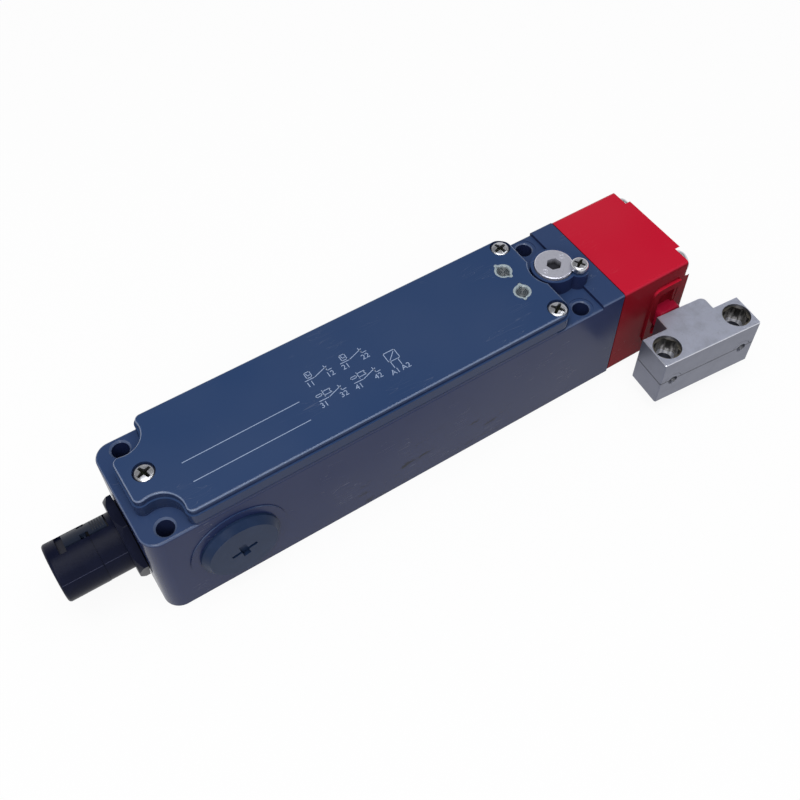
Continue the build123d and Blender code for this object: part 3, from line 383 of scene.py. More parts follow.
@dataclass(frozen=True)
class GlossPaint:
    """Baked gloss paint on a casting: faint orange peel, dust, hairline scratches and dark scuffs."""

    name: str
    colour: Colour
    shaded_side_colour: Colour
    scuff_colour: Colour
    roughness: float = 0.2
    scuffs: float = 0.0
    scratches: float = 0.0
    edge_highlight_colour: Colour = (0.30, 0.37, 0.52)
    edge_highlight_share: float = 0.55
    scratch_colour: Colour = (0.62, 0.64, 0.68)
    dust_colour: Colour = (0.5, 0.5, 0.5)
    specular: float = 0.12
    peel_size: float = 1.6
    peel_depth: float = 0.004
    coat: float = 0.35
    scuff_turn: Triple = (0.0, 35.0, 0.0)
    scuff_size: Triple = (11.0, 3.0, 2.6)
    scuff_centre: float = 8.0
    scuff_reach: tuple[float, float] = (18.0, 52.0)
    scuff_heights: tuple[float, float] = (14.0, 30.0)

    def material(self) -> bpy.types.Material:
        """Builds the node material.

        The sides are a darker copy of the top colour, which is painted shade, and where the surface turns
        over between them a lighter edge colour is a painted highlight. Scratches and scuffs are masks on
        top, which also make the paint rougher.

        Returns:
            The material.
        """
        shader = Shader(self.name)
        along, _, up = shader.axes()
        _, _, facing_up = shader.normal_axes()
        tone = shader.noise(45.0, 2.0)
        # painted shade: the sides take a darker copy of the top colour
        flat = shader.blend(self.shaded_side_colour, self.colour, facing_up.ease(0.3, 0.9))
        colour = shader.blend(flat, self.dust_colour, (tone - 0.5) * 0.05 + 0.01)
        marks = shader.streaks((0, 12, 25), (26.0, 2.2, 2.2), 0.006)
        more_marks = shader.streaks((10, -35, -15), (16.0, 1.8, 1.8), 0.005)
        patch = shader.noise(14.0, 2.0).ease(0.56, 0.7)
        lines = (marks + more_marks).smaller(1.0) * patch
        colour = shader.blend(colour, self.scratch_colour, lines * self.scratches)
        blots = self._scuff_mask(shader, along, up)
        colour = shader.blend(colour, self.scuff_colour, blots)
        # painted highlight: a lighter colour where the surface turns over between top and sides
        edge = facing_up.ease(0.3, 0.55) * facing_up.ease(0.96, 0.85) * self.edge_highlight_share
        colour = shader.blend(colour, self.edge_highlight_colour, edge)
        smear = shader.noise(9.0, 3.0, 0.6)
        roughness = self.roughness + (smear - 0.45) * 0.12 + lines * 0.25 + blots * 0.12
        peel = shader.noise(self.peel_size, 1.0)
        grit = shader.noise(0.35, 2.0)
        normal = shader.bump(peel + 0.25 * grit, self.peel_depth)
        shader.set(Base_Color=colour, Roughness=roughness.clamped(), Normal=normal,
                   Specular_IOR_Level=self.specular,
                   Coat_Weight=facing_up.ease(0.4, 0.95) * self.coat, Coat_Roughness=0.1)
        return shader.material

    def _scuff_mask(self, shader: Shader, along: Wire, up: Wire) -> Wire:
        """Dark rubbed marks that lean one way and crowd along the lower middle of the sides.

        Args:
            shader: The material being built.
            along: The surface point's X.
            up: The surface point's Z.

        Returns:
            The marks' share, 0 to 1.
        """
        cloud = shader.stretched(self.scuff_turn, self.scuff_size, 4.0, 0.62)
        crowd = shader.noise(30.0, 1.0)
        near, far = self.scuff_reach
        bottom, top = self.scuff_heights
        middle = abs(along - self.scuff_centre * MM).ease(far * MM, near * MM)
        low = up.ease(top * MM, bottom * MM)
        return cloud.ease(0.6, 0.68) * crowd.ease(0.42, 0.6) * middle * low * self.scuffs


@dataclass(frozen=True)
class CastMetal:
    """Satin die-cast metal with a fine grain, a painted highlight on its edges, painted shade on its sides
    and painted shade in the parting line round its sides.
    """

    name: str
    colour: Colour
    shaded_side_colour: Colour
    shade: Colour
    edge_highlight_colour: Colour = (0.78, 0.8, 0.86)
    parting_shade_colour: Colour = (0.02, 0.022, 0.03)
    parting_height: float = 16.1
    roughness: float = 0.36
    metallic: float = 0.85
    grain_depth: float = 0.006

    def material(self) -> bpy.types.Material:
        """Builds the node material: a top colour, a darker side colour that is painted shade and a lighter
        edge colour that is a painted highlight, under a random mottle of the shade colour.

        Returns:
            The material.
        """
        shader = Shader(self.name)
        _, _, up = shader.axes()
        _, _, facing_up = shader.normal_axes()
        cloud = shader.noise(5.0, 4.0, 0.6)
        speck = shader.noise(0.5, 2.0)
        # painted shade: the sides take a darker copy of the top colour
        base = shader.blend(self.shaded_side_colour, self.colour, facing_up.ease(0.3, 0.9))
        mottle = cloud.ease(0.35, 0.8) * 0.35 + speck.ease(0.6, 0.8) * 0.2
        colour = shader.blend(base, self.shade, mottle)
        # painted highlight on the edges between top and sides
        edge = facing_up.ease(0.3, 0.55) * facing_up.ease(0.97, 0.88)
        colour = shader.blend(colour, self.edge_highlight_colour, edge * 0.7)
        # painted shade in the parting line between the two halves, on the sides only
        parting_shade = abs(up - self.parting_height * MM).ease(0.34 * MM, 0.16 * MM)
        colour = shader.blend(colour, self.parting_shade_colour, parting_shade * facing_up.ease(0.4, 0.1) * 0.85)
        roughness = self.roughness + (cloud - 0.5) * 0.16 + (speck - 0.5) * 0.08
        normal = shader.bump(shader.noise(0.28, 3.0) + 0.4 * cloud, self.grain_depth)
        shader.set(Base_Color=colour, Roughness=roughness, Metallic=self.metallic, Normal=normal)
        return shader.material


@dataclass(frozen=True)
class PlatedSteel:
    """Bright zinc plated steel with soft handling marks and painted shade in its recesses."""

    name: str
    colour: Colour
    stain: Colour
    roughness: float = 0.24
    metallic: float = 1.0
    recess_shade_colour: Colour = (0.012, 0.014, 0.010)

    def material(self) -> bpy.types.Material:
        """Builds the node material, stained in clouds and darkened as painted shade where the recess
        attribute is high.

        Returns:
            The material.
        """
        shader = Shader(self.name)
        cloud = shader.noise(1.6, 4.0, 0.6)
        recess = shader.recess()
        colour = shader.blend(self.colour, self.stain, cloud.ease(0.45, 0.75) * 0.5)
        # painted shade in recesses, by the recess attribute
        colour = shader.blend(colour, self.recess_shade_colour, recess)
        roughness = self.roughness + (cloud - 0.5) * 0.2 + recess * 0.3
        normal = shader.bump(shader.noise(0.4, 3.0), 0.004)
        shader.set(Base_Color=colour, Roughness=roughness, Metallic=self.metallic, Normal=normal)
        return shader.material


@dataclass(frozen=True)
class TurnedMetal:
    """Satin metal faced on a lathe: fine rings round a centre, and painted shade in its recesses."""

    name: str
    colour: Colour
    ring_colour: Colour
    centre: tuple[float, float]
    ring_pitch: float = 0.12
    roughness: float = 0.33
    metallic: float = 0.65
    recess_shade_colour: Colour = (0.016, 0.016, 0.022)

    def material(self) -> bpy.types.Material:
        """Builds the node material, whose rings are a sine of the distance from the centre.

        Returns:
            The material.
        """
        shader = Shader(self.name)
        along, across, _ = shader.axes()
        dx = along - self.centre[0] * MM
        dy = across - self.centre[1] * MM
        radius = (dx * dx + dy * dy) ** 0.5
        wobble = shader.noise(2.0, 2.0)
        rings = (radius * (2 * math.pi / (self.ring_pitch * MM)) + wobble * 3.0).sine() * 0.5 + 0.5
        cloud = shader.noise(1.2, 4.0, 0.65)
        recess = shader.recess()
        colour = shader.blend(self.colour, self.ring_colour, rings * 0.25 + cloud.ease(0.45, 0.8) * 0.35)
        # painted shade in the socket, by the recess attribute
        colour = shader.blend(colour, self.recess_shade_colour, recess * 0.96)
        roughness = self.roughness + (cloud - 0.5) * 0.18
        normal = shader.bump(rings * 0.5 + cloud * 0.6, 0.004)
        shader.set(Base_Color=colour, Roughness=roughness, Metallic=self.metallic, Normal=normal)
        return shader.material


@dataclass(frozen=True)
class MouldedPlastic:
    """Moulded plastic with a fine texture, a slight bloom and rubbed spots."""

    name: str
    colour: Colour
    bloom: Colour
    roughness: float = 0.38
    grain: float = 0.45
    grain_depth: float = 0.006
    coat: float = 0.0
    specular: float = 0.15
    bloom_share: float = 0.35

    def material(self) -> bpy.types.Material:
        """Builds the node material, with its bloom in clouds and along rubbed lines.

        Returns:
            The material.
        """
        shader = Shader(self.name)
        cloud = shader.noise(6.0, 4.0, 0.6)
        rubbed = shader.streaks((20, 10, 35), (9.0, 1.0, 1.0), 0.012)
        rubbed = rubbed * shader.noise(5.0, 1.0).ease(0.5, 0.65)
        bloomed = cloud.ease(0.4, 0.85) * self.bloom_share + rubbed * 0.2
        colour = shader.blend(self.colour, self.bloom, bloomed)
        roughness = self.roughness + (cloud - 0.5) * 0.14
        normal = shader.bump(shader.noise(self.grain, 2.0) + 0.5 * cloud, self.grain_depth)
        shader.set(Base_Color=colour, Roughness=roughness, Normal=normal, Coat_Weight=self.coat,
                   Specular_IOR_Level=self.specular)
        return shader.material


@dataclass(frozen=True)
class ClearLens:
    """Grey translucent lens in its rim colour, with painted shade in its well, and cloudy."""

    name: str
    rim: Colour
    middle: Colour
    coat: float = 0.3

    def material(self) -> bpy.types.Material:
        """Builds the node material, from the rim's colour to the middle's painted shade by the recess
        attribute.

        Returns:
            The material.
        """
        shader = Shader(self.name)
        cloud = shader.noise(0.9, 3.0, 0.6)
        # painted shade: the well darkens towards the middle colour
        share = shader.recess() + (cloud - 0.5) * 0.16
        colour = shader.blend(self.rim, self.middle, share)
        normal = shader.bump(cloud, 0.006)
        shader.set(Base_Color=colour, Roughness=0.16 + cloud * 0.1, Normal=normal, Coat_Weight=self.coat)
        return shader.material


class Finish(Enum):
    """The finishes that the switch has, by the name of their slot in the record."""

    # each paint's second colour is painted shade for its sides, and its edge colour is a painted highlight
    CASING = GlossPaint("casing_paint", srgb(40, 60, 98), srgb(26, 38, 76), srgb(8, 10, 22),
                        roughness=0.24, scuffs=0.85, scratches=0.2, edge_highlight_share=0.18)
    COVER = GlossPaint("cover_paint", srgb(40, 62, 100), srgb(30, 46, 80), srgb(20, 26, 44),
                       roughness=0.2, scratches=0.05, edge_highlight_share=0.42)
    HEAD = GlossPaint("head_paint", srgb(186, 14, 44), srgb(118, 2, 20), srgb(60, 5, 18),
                      roughness=0.22, scratches=0.05, edge_highlight_colour=(0.5, 0.03, 0.07), edge_highlight_share=0.2,
                      specular=0.02)
    # second colour: painted shade for the sides; the edges take a painted highlight
    CAST = CastMetal("actuator_cast", srgb(202, 207, 226), srgb(110, 113, 127), srgb(104, 106, 118))
    KEY = PlatedSteel("key_steel", srgb(196, 194, 188), srgb(150, 148, 140), 0.26)
    ZINC = PlatedSteel("zinc_steel", srgb(206, 208, 214), srgb(160, 160, 158), 0.32)
    DISC = TurnedMetal("satin_zinc", srgb(208, 209, 222), srgb(160, 162, 176), (74.0, 0.0))
    INNER = PlatedSteel("inner_steel", srgb(176, 176, 174), srgb(120, 118, 112), 0.3)
    YOKE = PlatedSteel("yoke_steel", srgb(150, 152, 158), srgb(110, 108, 100), 0.36)
    BRASS = PlatedSteel("contact_brass", srgb(196, 166, 96), srgb(150, 116, 60), 0.28)
    COIL = MouldedPlastic("coil_wire", srgb(138, 72, 38), srgb(170, 100, 60), 0.25, coat=0.6)
    PLUG = MouldedPlastic("plug_plastic", srgb(26, 42, 70), srgb(48, 62, 90), 0.34, specular=0.1)
    CONNECTOR = MouldedPlastic("connector_plastic", srgb(13, 17, 36), srgb(26, 31, 54), 0.36, specular=0.08)
    INSERT = MouldedPlastic("insert_plastic", srgb(9, 9, 12), srgb(18, 18, 22), 0.5, specular=0.05)
    INNER_PLASTIC = MouldedPlastic("inner_plastic", srgb(214, 208, 196), srgb(188, 182, 168), 0.4)
    GUIDE = MouldedPlastic("guide_plastic", srgb(150, 18, 46), srgb(176, 44, 70), 0.3)
    # second colour: painted shade in the lens's well
    LENS = ClearLens("lens_plastic", srgb(150, 163, 170), srgb(20, 28, 38))
    LED = MouldedPlastic("led_plastic", srgb(190, 206, 190), srgb(220, 230, 220), 0.15, coat=0.8)
    BOARD = MouldedPlastic("board_plastic", srgb(38, 82, 50), srgb(60, 104, 66), 0.35, coat=0.5)
    LEAD = MouldedPlastic("lead_plastic", srgb(42, 42, 44), srgb(70, 70, 74), 0.4)
    SLEEVE = PlatedSteel("sleeve_steel", srgb(128, 124, 114), srgb(84, 80, 72), 0.3)
    # set screws darkened as painted shade in their holes
    SET_SCREW_SHADE = PlatedSteel("set_screw_painted_shade", srgb(52, 52, 50), srgb(30, 30, 28), 0.5)
    LATCH = MouldedPlastic("latch_plastic", srgb(26, 33, 48), srgb(44, 50, 64), 0.36, specular=0.1)
    GASKET = MouldedPlastic("gasket_rubber", srgb(8, 8, 11), srgb(18, 19, 23), 0.6, specular=0.05)
    PRINT = MouldedPlastic("print_ink", srgb(146, 162, 190), srgb(126, 142, 172), 0.4, grain=0.25)
    # lighter than the connector plastic: painted highlight on the mould line
    LINE = MouldedPlastic("lit_mould_line", srgb(36, 41, 66), srgb(48, 54, 80), 0.36)

    def material(self) -> bpy.types.Material:
        """The finish's material, built once."""
        return bpy.data.materials.get(finish_name(self.value.name)) or self.value.material()


# Studio

@dataclass
class Studio:
    """Camera as fitted to the photograph, soft lamps, and a white floor that keeps a faint shadow."""

    camera_place: Triple = (-91.23, -169.232, 296.736)
    camera_turn: Triple = (35.3884, 0.5183, -32.5975)
    focal_length: float = 46.4763
    sensor_width: float = 36.0
    floor_drop: float = 0.05
    floor_half: float = 3.0
    shadow_share: float = 0.08
    floor_colour: Colour = (0.86, 0.86, 0.87)
    fill_level: float = 0.32
    ceiling_level: float = 0.16
    ceiling_rise: tuple[float, float] = (0.3, 0.72)

    def build(self) -> None:
        """Makes the camera, lamps, world and floor, and sets the view transform."""
        bpy.context.scene.view_settings.view_transform = "Standard"
        self._camera()
        self._lamp("key_lamp", place=(-0.45, -0.5, 0.8), aim=(0.0, 0.0, 0.02), size=(0.5, 0.5), power=4.2)
        self._lamp("top_lamp", place=(-0.1, -0.05, 1.05), aim=(0.0, 0.0, 0.02), size=(0.6, 0.5), power=4.0)
        self._lamp("strip_lamp", place=(0.3, -0.2, 0.85), aim=(0.0, 0.0, 0.03), size=(0.9, 0.05), power=1.2)
        self._world()
        self._floor()

    def _camera(self) -> None:
        """Creates the camera and makes it the scene's own."""
        data = bpy.data.cameras.new("photo_camera")
        data.lens = self.focal_length
        data.sensor_width = self.sensor_width
        data.sensor_fit = "HORIZONTAL"
        data.clip_start = 0.01
        camera = bpy.data.objects.new("photo_camera", data)
        camera.location = Vector(self.camera_place) * MM
        camera.rotation_euler = Euler([math.radians(angle) for angle in self.camera_turn])
        bpy.context.scene.collection.objects.link(camera)
        bpy.context.scene.camera = camera

    def _lamp(self, name: str, place: Triple, aim: Triple, size: tuple[float, float], power: float) -> None:
        """Adds one oblong soft lamp.

        Args:
            name: The lamp's name.
            place: Where it stands, in metres.
            aim: The point that it faces, in metres.
            size: Its width and height, in metres.
            power: Its power, in watts.
        """
        data = bpy.data.lights.new(name, "AREA")
        data.shape = "RECTANGLE"
        data.size, data.size_y = size
        data.energy = power
        lamp = bpy.data.objects.new(name, data)
        lamp.location = place
        lamp.rotation_euler = (Vector(aim) - Vector(place)).to_track_quat("-Z", "Y").to_euler()
        bpy.context.scene.collection.objects.link(lamp)

    def _world(self) -> None:
        """Makes the world: white to the camera, and a soft even fill for diffuse light.

        What gloss mirrors is a dim ceiling over a white horizon.
        """
        world = bpy.data.worlds.new("white_world")
        world.use_nodes = True
        nodes = Nodes(world.node_tree)
        background = nodes.tree.nodes["Background"]
        direction = nodes.add("ShaderNodeTexCoord", out="Generated")
        upward = nodes.add("ShaderNodeSeparateXYZ", None, {0: direction}, out="Z")
        low, high = self.ceiling_rise
        ceiling = nodes.add("ShaderNodeMapRange", {"interpolation_type": "SMOOTHSTEP"}, {
            "Value": upward, "From Min": low, "From Max": high, "To Min": 1.0, "To Max": self.ceiling_level})
        mirrored = nodes.ray("Glossy").larger(nodes.ray("Transmission"))
        level = nodes.add("ShaderNodeMix", None, {0: mirrored, 2: self.fill_level, 3: ceiling})
        seen = nodes.add("ShaderNodeMix", None, {0: nodes.ray("Camera"), 2: level, 3: 1.0})
        nodes.feed(background.inputs["Color"], (1.0, 1.0, 1.0))
        nodes.feed(background.inputs["Strength"], seen)
        bpy.context.scene.world = world

    def _floor(self) -> None:
        """A plane just under the switch: white, with a faint share of real shading."""
        half = self.floor_half
        level = -self.floor_drop * MM
        mesh = bpy.data.meshes.new("floor")
        corners = [(-half, -half, level), (half, -half, level), (half, half, level), (-half, half, level)]
        mesh.from_pydata(corners, [], [(0, 1, 2, 3)])
        material = bpy.data.materials.new("floor_white")
        material.use_nodes = True
        nodes = Nodes(material.node_tree)
        nodes.tree.nodes.clear()
        shaded = nodes.add("ShaderNodeBsdfDiffuse", None, {"Color": self.floor_colour})
        white = nodes.add("ShaderNodeEmission", None, {"Color": (1.0, 1.0, 1.0), "Strength": 1.0})
        seen = nodes.ray("Camera").larger(nodes.ray("Glossy")).larger(nodes.ray("Transmission"))
        share = seen * (1.0 - self.shadow_share)
        surface = nodes.add("ShaderNodeMixShader", None, {0: share, 1: shaded, 2: white})
        nodes.feed(nodes.tree.nodes.new("ShaderNodeOutputMaterial").inputs["Surface"], surface)
        mesh.materials.append(material)
        floor = bpy.data.objects.new("floor", mesh)
        bpy.context.scene.collection.objects.link(floor)


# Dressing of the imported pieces

@dataclass
class PackedPieces:
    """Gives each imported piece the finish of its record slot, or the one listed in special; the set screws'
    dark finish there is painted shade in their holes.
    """

    frame: dict
    slots: dict[str, Finish] = field(default_factory=lambda: {entry.value.name: entry for entry in Finish})
    special: dict[str, Finish] = field(default_factory=lambda: {
        "actuator_sleeves": Finish.SLEEVE,
        # dark finish: painted shade in the set screws' holes
        "actuator_set_screws": Finish.SET_SCREW_SHADE,
        "connector_latch": Finish.LATCH})

    def dress(self) -> None:
        """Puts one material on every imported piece."""
        for part in self.frame["record"]["subparts"]:
            node = self.frame["nodes"][part["node"]]
            finish = self.special.get(part["node"]) or self.slots[part["material_slot"]]
            node.data.materials.clear()
            node.data.materials.append(finish.material())
            log.info("dressed %s as %s", part["node"], part["material_slot"])


# Surfaces

@dataclass
class Skin:
    """A closed surface: points in millimetres, faces, and how deep in a recess each point lies."""

    points: Grid
    faces: list[list[int]]
    recess: Grid

    @staticmethod
    def from_rings(rings: Grid, recess: Grid) -> "Skin":
        """Closes rings of points with a pole at each end.

        Point (i, j) joins its neighbours around and along. Each pole is the mean of its end ring.

        Args:
            rings: Points shaped (rings, segments, 3), counter-clockwise seen against the first pole.
            recess: Share of depth shaped (rings, segments), 0 to 1.

        Returns:
            The closed surface, with its faces outwards.
        """
        count, around = rings.shape[:2]
        index = np.arange(count * around).reshape(count, around)
        after = np.roll(index, -1, axis=1)
        quads = np.stack([index[:-1], index[1:], after[1:], after[:-1]], axis=-1).reshape(-1, 4)
        first = np.full(around, count * around)
        fans = np.concatenate([np.stack([first, index[0], after[0]], axis=-1),
                               np.stack([first + 1, after[-1], index[-1]], axis=-1)])
        points = np.concatenate([rings.reshape(-1, 3), rings[:1].mean(axis=1), rings[-1:].mean(axis=1)])
        share = np.concatenate([recess.ravel(), [recess[0].mean(), recess[-1].mean()]])
        return Skin(points, quads.tolist() + fans.tolist(), share)

    @staticmethod
    def swept(profile: Grid, place: Grid) -> "Skin":
        """Carries a closed outline round a closed path, as a ring with no ends.

        Args:
            profile: Outline shaped (corners, 2), as radius and distance along the axis.
            place: Angles round the axis, in radians.

        Returns:
            The ring about the X axis through the origin, in millimetres.
        """
        radius, along = profile[:, 0:1], profile[:, 1:2]
        rings = np.stack([along + 0 * place, radius * np.cos(place), radius * np.sin(place)], axis=-1)
        index = np.arange(rings.shape[0] * rings.shape[1]).reshape(rings.shape[:2])
        right = np.roll(index, -1, axis=1)
        below = np.roll(index, -1, axis=0)
        corner = np.roll(right, -1, axis=0)
        quads = np.stack([index, right, corner, below], axis=-1).reshape(-1, 4)
        return Skin(rings.reshape(-1, 3), quads.tolist(), np.zeros(index.size))

    def moved(self, x: float, y: float, z: float) -> "Skin":
        """The same surface, moved in millimetres."""
        return Skin(self.points + np.array([x, y, z]), self.faces, self.recess)

    def piece(self, name: str, finish: Finish, body: str, slot: str, *nodes: str,
              crisp: float = 32.0) -> bpy.types.Object:
        """Makes the surface a piece that rides on a body.

        Args:
            name: The piece's name.
            finish: Its finish.
            body: The body that it rides on.
            slot: The record's material slot.
            nodes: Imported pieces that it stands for.
            crisp: Edges sharper than this angle, in degrees, stay crisp.

        Returns:
            The piece.
        """
        mesh = bpy.data.meshes.new(name)
        mesh.from_pydata((self.points * MM).tolist(), [], self.faces)
        depth = mesh.attributes.new(RECESS, "FLOAT", "POINT")
        depth.data.foreach_set("value", self.recess.astype(np.float32))
        mesh.shade_smooth()
        mesh.set_sharp_from_angle(angle=math.radians(crisp))
        return finish_piece(name, mesh, finish, body, slot, *nodes)


def joined(skins: list[Skin]) -> Skin:
    """Joins surfaces into one, and leaves them apart in space.

    Args:
        skins: The surfaces.

    Returns:
        One surface with all their points and faces.
    """
    starts = np.cumsum([0] + [len(skin.points) for skin in skins])
    faces = [[corner + start for corner in face]
             for skin, start in zip(skins, starts) for face in skin.faces]
    return Skin(np.concatenate([skin.points for skin in skins]), faces,
                np.concatenate([skin.recess for skin in skins]))


def finish_piece(name: str, mesh: bpy.types.Mesh, finish: Finish, body: str, slot: str,
                 *nodes: str) -> bpy.types.Object:
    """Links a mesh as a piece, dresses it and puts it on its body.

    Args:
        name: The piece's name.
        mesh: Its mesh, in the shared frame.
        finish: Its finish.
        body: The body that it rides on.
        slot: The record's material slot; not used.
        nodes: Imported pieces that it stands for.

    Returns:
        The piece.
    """
    mesh.materials.append(finish.material())
    piece = bpy.data.objects.new(name, mesh)
    bpy.context.scene.collection.objects.link(piece)
    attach(piece, body)
    if nodes:
        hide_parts(*nodes)
    log.info("%s: %d points on %s", name, len(mesh.vertices), body)
    return piece


def eased(value: Grid, low: float, high: float) -> Grid:
    """Smooth step over an array: 0 at low, 1 at high."""
    share = np.clip((value - low) / (high - low), 0.0, 1.0)
    return share * share * (3.0 - 2.0 * share)


def about_z(radius: Grid, angle: Grid, height: Grid) -> Grid:
    """Points by radius and angle round Z and by height.

    Args:
        radius: Distances from Z, in millimetres.
        angle: Angles round Z, in radians.
        height: Heights, in millimetres. The three broadcast together.

    Returns:
        The points, with X, Y and Z along the last axis.
    """
    radius, angle, height = np.broadcast_arrays(radius, angle, height)
    return np.stack([radius * np.cos(angle), radius * np.sin(angle), height], axis=-1)


# Fasteners

@dataclass
class CrossScrew:
    """A pan head screw with a cross recess, standing along Z on its seat."""

    centre: tuple[float, float]
    seat: float
    head_radius: float
    head_height: float
    shank_radius: float
    shank_length: float
    turn: float
    crown: float = 0.16
    edge_round: float = 0.55
    arm_reach: float = 0.66
    arm_half_width: float = 0.17
    arm_root: float = 1.15
    arm_taper: float = 0.45
    floor_rise: float = 0.45
    recess_depth: float = 0.62
    wall: float = 0.1
    seat_bevel: float = 0.12
    point: float = 0.5
    rings: int = 52
    segments: int = 144

    def skin(self) -> Skin:
        """Head, recess and shank as rings about the screw's axis.

        With s the share of the head's radius, the top lies at H (1 - crown s^2), and falls over the last
        stretch as a quarter ellipse. The recess is where a point is within either arm, whose half width
        narrows outwards, and its floor rises from the middle to the arms' ends.

        Returns:
            The screw.
        """
        angle = np.linspace(0.0, 2 * math.pi, self.segments, endpoint=False)
        share = np.linspace(0.02, 1.0, self.rings)[:, None] + 0 * angle
        radius = share * self.head_radius
        start = 1.0 - self.edge_round * self.head_height / self.head_radius
        over = np.clip((share - start) / (1.0 - start), 0.0, 1.0)
        top = self.head_height * (1.0 - self.crown * share ** 2)
        top = top - self.edge_round * self.head_height * (1.0 - np.sqrt(1.0 - over ** 2))
        u = np.abs(radius * np.cos(angle - math.radians(self.turn)))
        v = np.abs(radius * np.sin(angle - math.radians(self.turn)))
        reach = self.arm_reach * self.head_radius
        half = self.arm_half_width * self.head_radius
        first = np.maximum(v - half * (self.arm_root - self.arm_taper * u / reach), u - reach)
        second = np.maximum(u - half * (self.arm_root - self.arm_taper * v / reach), v - reach)
        inside = np.clip(-np.minimum(first, second) / self.wall, 0.0, 1.0)
        floor = self.recess_depth * self.head_height * (1.0 - self.floor_rise * radius / reach)
        height = top - inside * floor
        tail_radius = np.array([self.head_radius, self.head_radius * 0.97, self.shank_radius,
                                self.shank_radius, self.shank_radius * 0.6])[:, None]
        tail_height = np.array([self.seat_bevel, 0.0, 0.0, self.point - self.shank_length,
                                -self.shank_length])[:, None]
        tail = about_z(tail_radius, angle, tail_height)
        rings = np.concatenate([about_z(radius, angle, height), tail])
        # the recess share also sets the painted shade of the cross recess
        recess = np.concatenate([eased(inside, 0.15, 0.9), np.zeros(tail.shape[:2])])
        return Skin.from_rings(rings, recess).moved(*self.centre, self.seat)


@dataclass
class Fasteners:
    """The screws that show on the cover and beside the release disc."""

    cover_seat: float = 43.8
    cover_head: tuple[float, float] = (3.42, 3.15)
    cover_shank: tuple[float, float] = (2.0, 12.0)
    cover_places: tuple[Triple, ...] = ((-72.0, 0.0, 20.0), (63.6, 15.6, 12.0), (63.6, -15.6, 32.0))
    keeper_place: Triple = (79.8, -5.8, 30.0)
    keeper_seat: float = 47.2
    keeper_head: tuple[float, float] = (2.9, 2.2)
    keeper_shank: tuple[float, float] = (1.25, 7.6)

    def build(self) -> None:
        """Makes the three cover screws and the screw that keeps the disc."""
        cover = [CrossScrew((x, y), self.cover_seat, *self.cover_head, *self.cover_shank, turn,
                            edge_round=0.3)
                 for x, y, turn in self.cover_places]
        screws = joined([screw.skin() for screw in cover])
        screws.piece("cover_cross_screws", Finish.ZINC, "switch", "zinc_steel", "cover_screws")
        x, y, turn = self.keeper_place
        keeper = CrossScrew((x, y), self.keeper_seat, *self.keeper_head, *self.keeper_shank, turn,
                            crown=0.1, edge_round=0.32)
        keeper.skin().piece("keeper_cross_screw", Finish.ZINC, "switch", "zinc_steel",
                            "release_retaining_screw")


# Release disc and indicator lenses

@dataclass
class ReleaseDisc:
    """The faced disc with its hexagon socket and two faint ring marks."""

    centre: tuple[float, float] = (74.0, 0.0)
    radius: float = 6.35
    bottom: float = 44.1
    top: float = 47.0
    bevel: float = 0.3
    socket_flats: float = 4.5
    socket_depth: float = 2.3
    socket_turn: float = 15.0
    mark_reach: float = 4.4
    mark_turn: float = 16.0
    mark_radius: float = 0.7
    mark_depth: float = 0.09
    mark_width: float = 0.14
    socket_wall: float = 0.12
    rings: int = 80
    segments: int = 180

    def skin(self) -> Skin:
        """Face, socket and side as rings about the disc's axis.

        A point lies in the socket where its largest distance along the three normals of the hexagon is
        under half its flats. A mark is a shallow groove at one radius from its own centre.

        Returns:
            The disc.
        """
        angle = np.linspace(0.0, 2 * math.pi, self.segments, endpoint=False)
        radius = np.linspace(0.01, 1.0, self.rings)[:, None] * self.radius + 0 * angle
        x, y = radius * np.cos(angle), radius * np.sin(angle)
        turns = np.radians(self.socket_turn + 60.0 * np.arange(3))
        reach = np.max([np.abs(x * np.cos(turn) + y * np.sin(turn)) for turn in turns], axis=0)
        inside = np.clip((self.socket_flats / 2 - reach) / self.socket_wall, 0.0, 1.0)
        rim = np.clip((radius - self.radius + self.bevel) / self.bevel, 0.0, 1.0)
        height = self.top - inside * self.socket_depth - rim * self.bevel * 0.6
        way = math.radians(self.mark_turn)
        for offset in (-self.mark_reach, self.mark_reach):
            away = np.hypot(x - offset * math.cos(way), y - offset * math.sin(way))
            height = height - self.mark_depth * np.exp(-((away - self.mark_radius) / self.mark_width) ** 2)
        side_radius = np.array([self.radius, self.radius, self.radius * 0.5])[:, None]
        side_height = np.array([self.top - self.bevel, self.bottom, self.bottom])[:, None]
        side = about_z(side_radius, angle, side_height)
        # the recess share also sets the painted shade of the socket
        recess = np.concatenate([eased(inside, 0.1, 0.9), np.zeros(side.shape[:2])])
        rings = np.concatenate([about_z(radius, angle, height), side])
        return Skin.from_rings(rings, recess).moved(*self.centre, 0.0)

    def build(self) -> None:
        """Makes the disc a piece that turns with the release."""
        self.skin().piece("faced_disc", Finish.DISC, "release", "satin_zinc", "release_disc")


